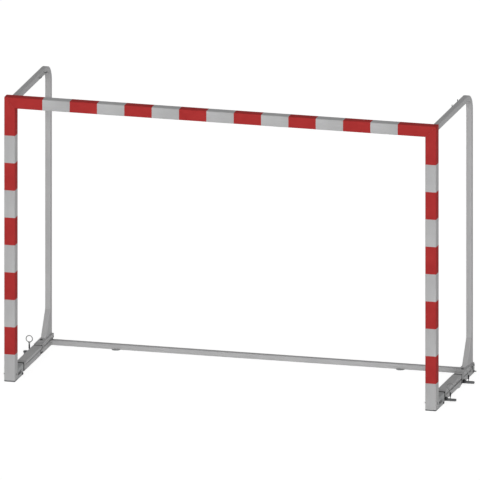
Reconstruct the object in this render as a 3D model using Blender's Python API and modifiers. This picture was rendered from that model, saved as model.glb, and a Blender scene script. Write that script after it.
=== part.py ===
"""Free-standing handball goal: banded square frame, bent net hoops and a ground frame with ring bolts.

Metres, +Z up, +X to the right seen from the pitch, +Y towards the back. The origin is on the floor, at the
middle of the width and of the depth. The right-hand side is modelled, and the left side mirrors it.
"""

import math

import bmesh
import bpy
from mathutils import Vector

# Goal mouth and its profile
CLEAR_WIDTH = 3.000
CLEAR_HEIGHT = 2.000
PROFILE = 0.080
PROFILE_CORNER = 0.007
PROFILE_WALL = 0.003
BAND = 0.200
CORNER_BAND = 0.280
OVERALL_DEPTH = 1.090

# Net groove along the back of the posts and the crossbar
GROOVE_MOUTH = 0.008
GROOVE_WIDTH = 0.014
GROOVE_LIP = 0.003
GROOVE_ROOM = 0.005

# Fits
CLEARANCE = 0.0003
SHANK_CLEARANCE = 0.0006

# Posts' feet and corners
CAP_THICKNESS = 0.008
CAP_PLUG = 0.030
CONNECTOR_ARM = 0.150
CONNECTOR_WALL = 0.006

# Net hoops
HOOP_TUBE = 0.040
HOOP_CORNER = 0.003
HOOP_WALL = 0.0025
HOOP_BEND = 0.110
HOOP_DROP = 0.0025
HOOP_SETBACK = 0.003
HOOP_PLUG = 0.060

# Foot bracket behind each post
BRACKET_LENGTH = 0.168
BRACKET_HEIGHT = 0.080
BRACKET_PLATE = 0.006
BRACKET_SLOT_START = 0.010
BRACKET_SLOT_LENGTH = 0.112
BRACKET_SLOT_HEIGHT = 0.013
BRACKET_SLOT_Z = 0.030
PIN_RADIUS = 0.005
PIN_HEAD = 0.003
PIN_HEAD_RADIUS = 0.008
PIN_Z = 0.010
PIN_FROM_END = 0.043
FOOT_BOLT_RADIUS = 0.004
FOOT_BOLT_HEAD = 0.004
FOOT_BOLT_HEAD_RADIUS = 0.0072
FOOT_BOLT_Z = 0.047

# Ground rails
RAIL_INSET = 0.0125
RAIL_LOWER_WIDTH = 0.054
RAIL_LIP = 0.011
REAR_RAIL_LIP = 0.0065
RAIL_HEIGHT = 0.074
REAR_RAIL_HEIGHT = 0.078
RAIL_GROOVE_Z = 0.036
RAIL_GROOVE_HEIGHT = 0.010
RAIL_GROOVE_DEPTH = 0.007
RAIL_WALL = 0.003
RAIL_CORNER = 0.002
REAR_RAIL_LENGTH = 0.274
RAIL_CAP = 0.004
RAIL_CAP_PLUG = 0.012

# Joints of the ground frame
JOINT_GAP = 0.022
JOINT_INSET = 0.0012
TONGUE = 0.060
NOSE_LENGTH = 0.050
NOSE_RADIUS = 0.034
NOSE_SPIGOT = 0.040

# Anchor lugs and ring bolts
LUG_DEPTH = 0.034
LUG_LOW = 0.005
LUG_THICKNESS = 0.012
LUG_REACH = 0.0825
LUG_ROOT_HEIGHT = 0.028
LUG_ROOT_LENGTH = 0.024
LUG_WAIST_HEIGHT = 0.0205
LUG_CORNER = 0.0155
LUG_SETBACK = 0.006
BOLT_FROM_RAIL = 0.039
BOLT_RADIUS = 0.0035
RING_RADIUS = 0.02325
RING_WIRE = 0.00325
RING_Z = 0.1065
NECK_RADIUS = 0.010
NECK_FLATNESS = 0.6
SLEEVE_RADIUS = 0.0055
SLEEVE_TOP = 0.0655
SLEEVE_LENGTH = 0.031
TIP_HEIGHT = 0.0005

# Rear ground bar
BAR_DEPTH = 0.040
BAR_TOP = 0.036
BAR_WALL = 0.0025
BAR_SETBACK = 0.005
PLATE_THICKNESS = 0.004
PLATE_RADIUS = 0.031
PLATE_X = 1.040
PLATE_HOLE_RADIUS = 0.005
PLATE_HOLE_FROM_BAR = 0.012

# Clamp plate at each back corner
CORNER_PLATE = 0.003
CORNER_PLATE_LENGTH = 0.086
CORNER_BOLT_RADIUS = 0.0065
CORNER_BOLT_HEAD = 0.005
CORNER_BOLT_FROM_END = 0.018
BAR_BOLT_RADIUS = 0.0045
BAR_BOLT_END = 0.019

# Wedge foot in front of each hoop upright
WEDGE_LENGTH = 0.123
WEDGE_HEIGHT = 0.187
WEDGE_SHEET = 0.003

# Net hooks
HOOK_PITCH = 0.200
HOOK_WIRE = 0.004
HOOK_REACH = 0.014
HOOK_HALF_WIDTH = 0.0033
HOOK_STRIP = 0.002
HOOP_HOOK_FIRST = 0.360
HOOP_HOOK_SPACING = 0.150
HOOP_HOOK_REACH = 0.020
HOOP_HOOK_LIFT = 0.012
SIDE_HOOK_REACH = 0.032
SIDE_HOOK_WIRE = 0.0022
SIDE_HOOK_LOW = 0.015
SIDE_HOOK_HIGH = 0.056
SIDE_HOOK_FROM_BACK = 0.490

# Places worked out from the sizes above
FRONT = -OVERALL_DEPTH / 2
POST_X = (CLEAR_WIDTH + PROFILE) / 2
OUTER_X = CLEAR_WIDTH / 2 + PROFILE
TOP = CLEAR_HEIGHT + PROFILE
POST_Y = FRONT + PROFILE / 2
POST_BACK = FRONT + PROFILE
GROOVE_DEPTH = GROOVE_LIP + GROOVE_ROOM
BRACKET_END = POST_BACK + BRACKET_LENGTH
NOSE_START = BRACKET_END + JOINT_GAP
RAIL_START = NOSE_START + NOSE_LENGTH
REAR_RAIL_END = -FRONT - RAIL_CAP
REAR_RAIL_START = -FRONT - REAR_RAIL_LENGTH
REAR_NOSE_START = REAR_RAIL_START - NOSE_LENGTH
RAIL_END = REAR_NOSE_START - JOINT_GAP
RAIL_OUTER_X = OUTER_X - RAIL_INSET
RAIL_INNER_X = RAIL_OUTER_X - RAIL_LOWER_WIDTH
BOLT_X = RAIL_OUTER_X + BOLT_FROM_RAIL
LUG_END_X = RAIL_OUTER_X + LUG_REACH
LUG_TOP = LUG_LOW + LUG_THICKNESS
BAR_Z = TOP - PROFILE / 2
HOOP_Z = BAR_Z - HOOP_DROP
HOOP_Y = -FRONT - HOOP_SETBACK - HOOP_TUBE / 2
BAR_BACK = -FRONT - BAR_SETBACK
BAR_FRONT = BAR_BACK - BAR_DEPTH


def clear_scene():
    for obj in list(bpy.data.objects):
        bpy.data.objects.remove(obj, do_unlink=True)


def new_collection(name):
    collection = bpy.data.collections.new(name)
    bpy.context.scene.collection.children.link(collection)
    return collection


def new_material(name, colour, roughness, metallic):
    material = bpy.data.materials.new(name)
    material.use_nodes = True
    shader = material.node_tree.nodes["Principled BSDF"]
    shader.inputs["Base Color"].default_value = (*colour, 1.0)
    shader.inputs["Roughness"].default_value = roughness
    shader.inputs["Metallic"].default_value = metallic
    material.diffuse_color = (*colour, 1.0)
    return material


def baked(obj):
    """The object with its modifiers applied to its mesh."""
    bpy.context.view_layer.update()
    evaluated = obj.evaluated_get(bpy.context.evaluated_depsgraph_get())
    mesh = bpy.data.meshes.new_from_object(evaluated)
    mesh.name = obj.name
    obj.modifiers.clear()
    obj.data = mesh
    return obj


def tidy_mesh(mesh):
    """Welds the caps that a curve leaves loose, makes each flat side one face, and turns faces outwards."""
    shape = bmesh.new()
    shape.from_mesh(mesh)
    bmesh.ops.remove_doubles(shape, verts=shape.verts, dist=1e-6)
    caps = [face for face in shape.faces if len({round(vert.co.z, 7) for vert in face.verts}) == 1]
    inner_edges = [edge for edge in shape.edges if sum(face in caps for face in edge.link_faces) == 2]
    bmesh.ops.beautify_fill(shape, faces=caps, edges=inner_edges)
    bmesh.ops.dissolve_limit(shape, verts=shape.verts, edges=shape.edges, angle_limit=0.001)
    bmesh.ops.recalc_face_normals(shape, faces=shape.faces)
    shape.to_mesh(mesh)
    shape.free()


def meshed(curve_object, name):
    """A mesh object in the place of a curve object, which is removed."""
    bpy.context.view_layer.update()
    evaluated = curve_object.evaluated_get(bpy.context.evaluated_depsgraph_get())
    mesh = bpy.data.meshes.new_from_object(evaluated)
    mesh.name = name
    tidy_mesh(mesh)
    obj = bpy.data.objects.new(name, mesh)
    parts.objects.link(obj)
    obj.matrix_world = curve_object.matrix_world.copy()
    bpy.data.objects.remove(curve_object, do_unlink=True)
    return obj


def rounded(corners, radius, steps=4):
    """Closed outline through the corners, each of them turned by an arc of the radius."""
    loop = []
    for index, corner in enumerate(corners):
        here = Vector(corner)
        before = Vector(corners[index - 1]) - here
        after = Vector(corners[(index + 1) % len(corners)]) - here
        half_turn = before.angle(after) / 2
        reach = min(radius / math.tan(half_turn), 0.49 * before.length, 0.49 * after.length)
        arc_radius = reach * math.tan(half_turn)
        middle = (before.normalized() + after.normalized()).normalized()
        centre = here + middle * arc_radius / math.sin(half_turn)
        first = here + before.normalized() * reach - centre
        last = here + after.normalized() * reach - centre
        start = math.atan2(first.y, first.x)
        sweep = (math.atan2(last.y, last.x) - start + math.pi) % math.tau - math.pi
        for step in range(steps + 1):
            angle = start + sweep * step / steps
            loop.append((centre.x + arc_radius * math.cos(angle), centre.y + arc_radius * math.sin(angle)))
    return loop


def rectangle(low, high):
    return [(low[0], low[1]), (high[0], low[1]), (high[0], high[1]), (low[0], high[1])]


def circle(centre, radius, steps=24):
    angles = [math.tau * step / steps for step in range(steps)]
    return [(centre[0] + radius * math.cos(a), centre[1] + radius * math.sin(a)) for a in angles]


def prism(name, loops, plane, start, end):
    """Outlines drawn in a plane and extruded across it, from start to end. Inner loops are holes."""
    curve = bpy.data.curves.new(name, "CURVE")
    curve.dimensions = "2D"
    curve.fill_mode = "BOTH"
    curve.extrude = (end - start) / 2
    for loop in loops:
        spline = curve.splines.new("POLY")
        spline.points.add(len(loop) - 1)
        for point, place in zip(spline.points, loop):
            point.co = (*place, 0.0, 1.0)
        spline.use_cyclic_u = True
    outline = bpy.data.objects.new(name + "_outline", curve)
    parts.objects.link(outline)
    outline.rotation_euler.x = 0.0 if plane == "XY" else math.pi / 2
    outline.rotation_euler.z = math.pi / 2 if plane == "YZ" else 0.0
    across = next(index for index, letter in enumerate("XYZ") if letter not in plane)
    outline.location[across] = (start + end) / 2
    return meshed(outline, name)


def wire(name, points, radius, resolution=2):
    """Round wire with flat ends along the points."""
    curve = bpy.data.curves.new(name, "CURVE")
    curve.dimensions = "3D"
    curve.bevel_depth = radius
    curve.bevel_resolution = resolution
    curve.use_fill_caps = True
    spline = curve.splines.new("POLY")
    spline.points.add(len(points) - 1)
    for point, place in zip(spline.points, points):
        point.co = (*place, 1.0)
    path = bpy.data.objects.new(name + "_path", curve)
    parts.objects.link(path)
    return meshed(path, name)


def rod(name, radius, start, end, sides=24):
    """Solid cylinder between two points."""
    along = Vector(end) - Vector(start)
    bpy.ops.mesh.primitive_cylinder_add(
        vertices=sides,
        radius=radius,
        depth=along.length,
        location=(Vector(start) + Vector(end)) / 2,
        rotation=along.to_track_quat("Z", "Y").to_euler(),
    )
    return claimed(name)


def box(name, low, high):
    """Block between two opposite corners."""
    low, high = Vector(low), Vector(high)
    bpy.ops.mesh.primitive_cube_add(size=1.0, location=(low + high) / 2)
    obj = claimed(name)
    obj.scale = high - low
    bpy.ops.object.transform_apply(location=False, rotation=False, scale=True)
    return obj


def claimed(name):
    """The primitive just added, named and moved to the goal's collection."""
    obj = bpy.context.active_object
    obj.name = name
    obj.data.name = name
    for collection in list(obj.users_collection):
        collection.objects.unlink(obj)
    parts.objects.link(obj)
    return obj


def combined(target, others, operation):
    """The target after a Boolean with each of the others, which are used up."""
    for other in others:
        step = target.modifiers.new(other.name, "BOOLEAN")
        step.operation = operation
        step.object = other
    baked(target)
    for other in others:
        bpy.data.objects.remove(other, do_unlink=True)
    return target


def finished(obj, material, sharp=30.0):
    """The object in its own material, its round faces shaded smooth."""
    obj.data.materials.clear()
    obj.data.materials.append(material)
    obj.data.shade_smooth()
    obj.data.set_sharp_from_angle(angle=math.radians(sharp))
    return obj


def on_both_sides(obj):
    """Hangs the piece on the right side, and a copy that shares its mesh on the left."""
    base = obj.name
    copy = obj.copy()
    parts.objects.link(copy)
    obj.name = "right_" + base
    copy.name = "left_" + base
    obj.parent = right_side
    copy.parent = left_side


def profile_loops():
    """Section of the goal profile about its own middle, net groove at +y."""
    half = PROFILE / 2
    room = half - PROFILE_WALL
    mouth = GROOVE_MOUTH / 2
    slot = GROOVE_WIDTH / 2
    housing = slot + PROFILE_WALL
    floor = half - GROOVE_DEPTH
    square = rounded(rectangle((-half, -half), (half, half)), PROFILE_CORNER)
    side = len(square) // 4
    groove = [(mouth, half), (mouth, half - GROOVE_LIP), (slot, half - GROOVE_LIP), (slot, floor)]
    outer = square[: 3 * side] + groove + [(-x, y) for x, y in reversed(groove)] + square[3 * side :]
    back = floor - PROFILE_WALL
    inner = [(-room, -room), (room, -room), (room, room), (housing, room), (housing, back), (-housing, back)]
    inner += [(-housing, room), (-room, room)]
    return [outer, inner]


def banded(obj, axis, cuts, is_red):
    """Cuts faces at the band edges and gives each face its band's colour."""
    shape = bmesh.new()
    shape.from_mesh(obj.data)
    shape.transform(obj.matrix_world)
    normal = Vector([1.0 if index == axis else 0.0 for index in range(3)])
    for cut in cuts:
        everything = shape.verts[:] + shape.edges[:] + shape.faces[:]
        bmesh.ops.bisect_plane(shape, geom=everything, plane_co=normal * cut, plane_no=normal, dist=1e-6)
    for face in shape.faces:
        face.material_index = int(is_red(face.calc_center_median()[axis]))
    shape.transform(obj.matrix_world.inverted())
    shape.to_mesh(obj.data)
    shape.free()
    return obj


def mitre_cutter(side, above):
    """Block with one face on the corner's diagonal, above it for the post and below it for the crossbar."""
    half = 4 * PROFILE
    corner = Vector((side * CLEAR_WIDTH / 2, POST_Y, CLEAR_HEIGHT))
    normal = Vector((-side, 0.0, 1.0)).normalized() * (1 if above else -1)
    cutter = box("mitre", (-half, -half, -half), (half, half, half))
    cutter.rotation_euler = (0.0, -side * math.pi / 4, 0.0)
    cutter.location = corner + normal * (half - CLEARANCE / 2)
    return cutter


def build_post():
    loops = [[(x + POST_X, y + POST_Y) for x, y in loop] for loop in profile_loops()]
    post = prism("post", loops, "XY", CAP_THICKNESS + CLEARANCE, TOP + PROFILE)
    hole = rod(
        "hole",
        FOOT_BOLT_RADIUS + CLEARANCE,
        (POST_X - PROFILE, POST_Y, FOOT_BOLT_Z),
        (POST_X + PROFILE, POST_Y, FOOT_BOLT_Z),
        16,
    )
    combined(post, [mitre_cutter(1, True), hole], "DIFFERENCE")
    finished(post, silver)
    post.data.materials.append(red)
    count = round((TOP - CORNER_BAND) / BAND)
    edges = [TOP - CORNER_BAND - BAND * index for index in range(count)]
    banded(post, 2, edges, lambda z: z > edges[0] or (int((edges[0] - z) / BAND) % 2 == 1))
    on_both_sides(post)


def build_crossbar():
    loops = [[(y + POST_Y, x + BAR_Z) for x, y in loop] for loop in profile_loops()]
    bar = prism("crossbar", loops, "YZ", -OUTER_X - PROFILE, OUTER_X + PROFILE)
    combined(bar, [mitre_cutter(-1, False), mitre_cutter(1, False)], "DIFFERENCE")
    finished(bar, silver)
    bar.data.materials.append(red)
    half = OUTER_X - CORNER_BAND
    count = round(2 * half / BAND)
    edges = [-half + 2 * half * index / count for index in range(count + 1)]
    banded(bar, 0, edges, lambda x: abs(x) > half or int((x + half) / (2 * half / count)) % 2 == 1)


def build_corner_connector():
    """Pocketed cast elbow in the hollow of the mitred corner."""
    room = PROFILE / 2 - PROFILE_WALL - CLEARANCE
    front = FRONT + PROFILE_WALL + CLEARANCE
    back = POST_BACK - GROOVE_DEPTH - PROFILE_WALL - CLEARANCE
    right = POST_X + room
    left = POST_X - room
    top = BAR_Z + room
    bottom = BAR_Z - room
    inner_end = right - CONNECTOR_ARM
    lower_end = top - CONNECTOR_ARM
    elbow = [
        (inner_end, top),
        (inner_end, bottom),
        (left, bottom),
        (left, lower_end),
        (right, lower_end),
        (right, top),
    ]
    wall = CONNECTOR_WALL
    across = rectangle((inner_end + wall, bottom + wall), (left - wall, top - wall))
    down = rectangle((left + wall, lower_end + wall), (right - wall, bottom - wall))
    connector = prism("corner_connector", [elbow, across, down], "XZ", front, back)
    on_both_sides(finished(connector, cast_grey))


def build_post_cap():
    """Plastic foot with a plug that fills the bottom of the post."""
    half = PROFILE / 2
    outline = rounded(rectangle((POST_X - half, FRONT), (POST_X + half, POST_BACK)), PROFILE_CORNER)
    plate = prism("post_cap", [outline], "XY", 0.0, CAP_THICKNESS)
    room = half - PROFILE_WALL - CLEARANCE
    back = POST_BACK - GROOVE_DEPTH - PROFILE_WALL - CLEARANCE
    plug = box(
        "plug",
        (POST_X - room, POST_Y - room, CAP_THICKNESS / 2),
        (POST_X + room, back, CAP_THICKNESS + CAP_PLUG),
    )
    combined(plate, [plug], "UNION")
    on_both_sides(finished(plate, dark_plastic))


def build_foot_bracket():
    """Channel open at the bottom and the back, slotted in both cheeks, flanged against the post."""
    width = PROFILE / 2
    front = POST_BACK + CLEARANCE
    outline = rounded(rectangle((front, 0.0), (BRACKET_END, BRACKET_HEIGHT)), RAIL_CORNER)
    bracket = prism("foot_bracket", [outline], "YZ", POST_X - width, POST_X + width)
    inside = width - BRACKET_PLATE
    channel = box(
        "channel",
        (POST_X - inside, front + BRACKET_PLATE, -BRACKET_PLATE),
        (POST_X + inside, BRACKET_END + BRACKET_PLATE, BRACKET_HEIGHT - BRACKET_PLATE),
    )
    slot_start = front + BRACKET_SLOT_START
    slot = rounded(
        rectangle(
            (slot_start, BRACKET_SLOT_Z - BRACKET_SLOT_HEIGHT / 2),
            (slot_start + BRACKET_SLOT_LENGTH, BRACKET_SLOT_Z + BRACKET_SLOT_HEIGHT / 2),
        ),
        BRACKET_SLOT_HEIGHT / 2,
    )
    slots = prism("slots", [slot], "YZ", POST_X - PROFILE, POST_X + PROFILE)
    pin_y = BRACKET_END - PIN_FROM_END
    hole = rod(
        "hole",
        PIN_RADIUS + CLEARANCE,
        (POST_X - PROFILE, pin_y, PIN_Z),
        (POST_X + PROFILE, pin_y, PIN_Z),
    )
    combined(bracket, [channel, slots, hole], "DIFFERENCE")
    on_both_sides(finished(bracket, galvanised))


def headed_pin(name, material, radius, head_radius, head_height, place_y, place_z, sides):
    """Pin across the post's width, with a flat head on each side."""
    face = PROFILE / 2 + CLEARANCE
    shaft = face + head_height / 2
    pin = rod(name, radius, (POST_X - shaft, place_y, place_z), (POST_X + shaft, place_y, place_z), sides)
    heads = []
    for side in (-1, 1):
        start = (POST_X + side * face, place_y, place_z)
        end = (POST_X + side * (face + head_height), place_y, place_z)
        heads.append(rod("head", head_radius, start, end, sides))
    combined(pin, heads, "UNION")
    on_both_sides(finished(pin, material))


def build_cross_pin():
    """Pin through the bracket's cheeks and the tongue between them."""
    pin_y = BRACKET_END - PIN_FROM_END
    headed_pin("cross_pin", black, PIN_RADIUS, PIN_HEAD_RADIUS, PIN_HEAD, pin_y, PIN_Z, 24)


def build_post_bolt():
    """Long bolt across the foot of the post."""
    head = (FOOT_BOLT_HEAD_RADIUS, FOOT_BOLT_HEAD)
    headed_pin("post_bolt", zinc, FOOT_BOLT_RADIUS, *head, POST_Y, FOOT_BOLT_Z, 16)


def rail_outline(height, lip, inset=0.0, radius=RAIL_CORNER, grooved=True):
    """Section of a ground rail: a box with a groove along both sides, its top part reaching further in."""
    outer = RAIL_OUTER_X - inset
    inner = RAIL_INNER_X + inset
    lip_edge = RAIL_INNER_X - lip + inset
    low, high = RAIL_GROOVE_Z - inset, RAIL_GROOVE_Z + RAIL_GROOVE_HEIGHT + inset
    depth = RAIL_GROOVE_DEPTH
    corners = [(inner, inset), (outer, inset)]
    if grooved:
        corners += [(outer, low), (outer - depth, low), (outer - depth, high), (outer, high)]
    corners += [(outer, height - inset), (lip_edge, height - inset)]
    if grooved:
        corners += [(lip_edge, high), (inner + depth, high), (inner + depth, low), (inner, low)]
    else:
        corners += [(lip_edge, high), (inner, high)]
    return rounded(corners, radius, steps=2)


def build_rail(name, height, lip, start, end):
    loops = [rail_outline(height, lip), rail_outline(height, lip, RAIL_WALL, RAIL_CORNER / 2)]
    rail = prism(name, loops, "XZ", start, end)
    on_both_sides(finished(rail, silver))


def build_nose(name, height, lip, start):
    """Cast end of a rail, rounded up from the floor and notched over the lug, with a spigot in the rail."""
    nose = prism(name, [rail_outline(height, lip, grooved=False)], "XZ", start, start + NOSE_LENGTH)
    spigot = prism(
        "spigot",
        [rail_outline(height, lip, RAIL_WALL + CLEARANCE, RAIL_CORNER / 2)],
        "XZ",
        start + NOSE_LENGTH / 2,
        start + NOSE_LENGTH + NOSE_SPIGOT,
    )
    combined(nose, [spigot], "UNION")
    below = -NOSE_RADIUS / 2
    corner = [(start + below, below), (start + NOSE_RADIUS, below)]
    for step in range(7):
        angle = math.pi / 2 * step / 6
        corner.append((start + NOSE_RADIUS * (1 - math.sin(angle)), NOSE_RADIUS * (1 - math.cos(angle))))
    corner.append((start + below, NOSE_RADIUS))
    rounding = prism("rounding", [corner], "YZ", POST_X - PROFILE, POST_X + PROFILE)
    notch = box(
        "notch",
        (POST_X - PROFILE, start - NOSE_LENGTH, -LUG_THICKNESS),
        (POST_X + PROFILE, start + LUG_SETBACK + LUG_DEPTH + CLEARANCE, LUG_TOP + CLEARANCE),
    )
    combined(nose, [rounding, notch], "DIFFERENCE")
    on_both_sides(finished(nose, cast_grey))


def build_front_joint():
    """Black spacer between bracket and rail, with a tongue pinned in the bracket."""
    start, end = BRACKET_END + CLEARANCE, NOSE_START - CLEARANCE
    outline = rail_outline(RAIL_HEIGHT, RAIL_LIP, JOINT_INSET, grooved=False)
    spacer = prism("front_joint", [outline], "XZ", start, end)
    inside = PROFILE / 2 - BRACKET_PLATE - CLEARANCE
    tongue = box(
        "tongue",
        (RAIL_INNER_X, BRACKET_END - TONGUE, CLEARANCE),
        (POST_X + inside, end - JOINT_GAP / 2, BRACKET_HEIGHT - BRACKET_PLATE - CLEARANCE),
    )
    trim = box(
        "trim",
        (POST_X - PROFILE, start, RAIL_HEIGHT - JOINT_INSET),
        (POST_X + PROFILE, end, BRACKET_HEIGHT * 2),
    )
    combined(tongue, [trim], "DIFFERENCE")
    pin_y = BRACKET_END - PIN_FROM_END
    combined(spacer, [tongue], "UNION")
    hole = rod(
        "hole", PIN_RADIUS + CLEARANCE, (POST_X - PROFILE, pin_y, PIN_Z), (POST_X + PROFILE, pin_y, PIN_Z)
    )
    combined(spacer, [hole], "DIFFERENCE")
    on_both_sides(finished(spacer, black))


def build_rear_joint():
    """Black spacer between the two rails, with a tongue in the front one."""
    start, end = RAIL_END + CLEARANCE, REAR_NOSE_START - CLEARANCE
    outline = rail_outline(RAIL_HEIGHT, RAIL_LIP, JOINT_INSET, grooved=False)
    spacer = prism("rear_joint", [outline], "XZ", start, end)
    tongue_section = rail_outline(RAIL_HEIGHT, RAIL_LIP, RAIL_WALL + CLEARANCE, RAIL_CORNER / 2)
    tongue = prism("tongue", [tongue_section], "XZ", RAIL_END - TONGUE, start + JOINT_GAP / 4)
    combined(spacer, [tongue], "UNION")
    on_both_sides(finished(spacer, black))


def build_rail_end_cap():
    """Cap that closes the back end of the ground frame."""
    outline = rail_outline(REAR_RAIL_HEIGHT, REAR_RAIL_LIP)
    cap = prism("rail_end_cap", [outline], "XZ", REAR_RAIL_END + CLEARANCE, -FRONT)
    plug_outline = rail_outline(REAR_RAIL_HEIGHT, REAR_RAIL_LIP, RAIL_WALL + CLEARANCE, RAIL_CORNER / 2)
    plug = prism("plug", [plug_outline], "XZ", REAR_RAIL_END - RAIL_CAP_PLUG, -FRONT - RAIL_CAP / 2)
    combined(cap, [plug], "UNION")
    on_both_sides(finished(cap, dark_plastic))


def build_lug(name, start):
    """Black anchor foot under the nose: a bar across the rail and a lug with a bolt hole outside it."""
    low, high = start + LUG_SETBACK, start + LUG_SETBACK + LUG_DEPTH
    root = RAIL_OUTER_X + CLEARANCE
    outline = [
        (RAIL_INNER_X, LUG_LOW),
        (LUG_END_X, LUG_LOW),
        (LUG_END_X, LUG_TOP),
        (root + LUG_ROOT_LENGTH, LUG_TOP),
        (root + LUG_ROOT_LENGTH / 3, LUG_WAIST_HEIGHT),
        (root, LUG_ROOT_HEIGHT),
        (root, LUG_TOP),
        (RAIL_INNER_X, LUG_TOP),
    ]
    lug = prism(name, [outline], "XZ", low, high)
    plan = [
        (RAIL_INNER_X - LUG_DEPTH, low - LUG_DEPTH / 4),
        (LUG_END_X, low),
        (LUG_END_X, high),
        (RAIL_INNER_X - LUG_DEPTH, high + LUG_DEPTH / 4),
    ]
    shape = prism("plan", [rounded(plan, LUG_CORNER, steps=6)], "XY", -LUG_THICKNESS, 3 * LUG_THICKNESS)
    combined(lug, [shape], "INTERSECT")
    middle = (low + high) / 2
    hole = rod(
        "hole",
        BOLT_RADIUS + SHANK_CLEARANCE,
        (BOLT_X, middle, -LUG_THICKNESS),
        (BOLT_X, middle, 3 * LUG_THICKNESS),
    )
    combined(lug, [hole], "DIFFERENCE")
    on_both_sides(finished(lug, black))
    return middle


def build_ring_bolt(name, place_y):
    """Ring bolt and its sleeve, both with their origin on the bolt's axis at floor level."""
    ring_foot = RING_Z - RING_RADIUS
    neck_low = SLEEVE_TOP + CLEARANCE
    bolt = rod("ring_bolt_" + name, BOLT_RADIUS, (0.0, 0.0, TIP_HEIGHT), (0.0, 0.0, ring_foot))
    bolt.data.transform(bolt.matrix_world)
    bolt.location = (0.0, 0.0, 0.0)
    bpy.ops.mesh.primitive_torus_add(
        major_radius=RING_RADIUS,
        minor_radius=RING_WIRE,
        major_segments=28,
        minor_segments=8,
        location=(0.0, 0.0, RING_Z),
        rotation=(math.pi / 2, 0.0, 0.0),
    )
    ring = claimed("ring")
    bpy.ops.mesh.primitive_cone_add(
        vertices=20,
        radius1=SLEEVE_RADIUS,
        radius2=NECK_RADIUS,
        depth=ring_foot - neck_low,
        location=(0.0, 0.0, (ring_foot + neck_low) / 2),
    )
    neck = claimed("neck")
    neck.scale.y = NECK_FLATNESS
    combined(bolt, [neck, ring], "UNION")
    bolt.location = (BOLT_X, place_y, 0.0)
    on_both_sides(finished(bolt, zinc))
    loops = [circle((0.0, 0.0), SLEEVE_RADIUS), circle((0.0, 0.0), BOLT_RADIUS + CLEARANCE)]
    sleeve = prism("bolt_sleeve_" + name, loops, "XY", SLEEVE_TOP - SLEEVE_LENGTH, SLEEVE_TOP)
    sleeve.data.transform(sleeve.matrix_world)
    sleeve.location = (BOLT_X, place_y, 0.0)
    on_both_sides(finished(sleeve, black))


def bent_path():
    """Middle line of a net hoop: back from the corner, round the bend, down to the rear rail."""
    start = POST_BACK + CLEARANCE
    points = [(POST_X, start, HOOP_Z)]
    steps = 10
    for step in range(steps + 1):
        angle = math.pi / 2 * step / steps
        back = HOOP_Y - HOOP_BEND + HOOP_BEND * math.sin(angle)
        points.append((POST_X, back, HOOP_Z - HOOP_BEND + HOOP_BEND * math.cos(angle)))
    points.append((POST_X, HOOP_Y, REAR_RAIL_HEIGHT + CLEARANCE))
    return points


def build_hoop():
    """Square tube bent once, hollow from end to end."""
    half = HOOP_TUBE / 2
    section = bpy.data.curves.new("hoop_section", "CURVE")
    section.dimensions = "2D"
    spline = section.splines.new("POLY")
    loop = rounded(rectangle((-half, -half), (half, half)), HOOP_CORNER, steps=2)
    spline.points.add(len(loop) - 1)
    for point, (across, up) in zip(spline.points, loop):
        point.co = (across, up, 0.0, 1.0)
    spline.use_cyclic_u = True
    section_object = bpy.data.objects.new("hoop_section", section)
    parts.objects.link(section_object)
    curve = bpy.data.curves.new("hoop", "CURVE")
    curve.dimensions = "3D"
    curve.bevel_mode = "OBJECT"
    curve.bevel_object = section_object
    path = curve.splines.new("POLY")
    points = bent_path()
    path.points.add(len(points) - 1)
    for point, place in zip(path.points, points):
        point.co = (*place, 1.0)
    path_object = bpy.data.objects.new("hoop_path", curve)
    parts.objects.link(path_object)
    hoop = meshed(path_object, "hoop")
    bpy.data.objects.remove(section_object, do_unlink=True)
    wall = hoop.modifiers.new("wall", "SOLIDIFY")
    wall.thickness = HOOP_WALL
    wall.offset = -1.0
    wall.use_even_offset = True
    baked(hoop)
    on_both_sides(finished(hoop, silver))


def build_hoop_plugs():
    """Plugs that hold the hoop's ends on the corner and on the rear rail."""
    half = HOOP_TUBE / 2 - HOOP_WALL - CLEARANCE
    top = rectangle((POST_X - half, HOOP_Z - half), (POST_X + half, HOOP_Z + half))
    top = rounded(top, HOOP_CORNER / 2, steps=2)
    start = POST_BACK + CLEARANCE
    on_both_sides(finished(prism("hoop_top_plug", [top], "XZ", start, start + HOOP_PLUG), cast_grey))
    foot = rectangle((POST_X - half, HOOP_Y - half), (POST_X + half, HOOP_Y + half))
    foot = rounded(foot, HOOP_CORNER / 2, steps=2)
    low = REAR_RAIL_HEIGHT + CLEARANCE
    on_both_sides(finished(prism("hoop_foot_plug", [foot], "XY", low, low + HOOP_PLUG), cast_grey))


def build_wedge():
    """Folded sheet foot in front of the upright: two cheeks and a sloping front, open to the tube."""
    back = HOOP_Y - HOOP_TUBE / 2 - CLEARANCE
    low = REAR_RAIL_HEIGHT + CLEARANCE
    half = HOOP_TUBE / 2
    corners = [(back - WEDGE_LENGTH, low), (back, low), (back, low + WEDGE_HEIGHT)]
    wedge = prism("wedge_foot", [corners], "YZ", POST_X - half, POST_X + half)
    slope = math.hypot(WEDGE_LENGTH, WEDGE_HEIGHT)
    forward = WEDGE_SHEET * slope / WEDGE_HEIGHT
    upward = WEDGE_SHEET * slope / WEDGE_LENGTH
    room = [
        (back - WEDGE_LENGTH + forward * 2, low - upward),
        (back + forward, low - upward),
        (back + forward, low + WEDGE_HEIGHT),
    ]
    inside = prism("inside", [room], "YZ", POST_X - half + WEDGE_SHEET, POST_X + half - WEDGE_SHEET)
    combined(wedge, [inside], "DIFFERENCE")
    on_both_sides(finished(wedge, silver))


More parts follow.
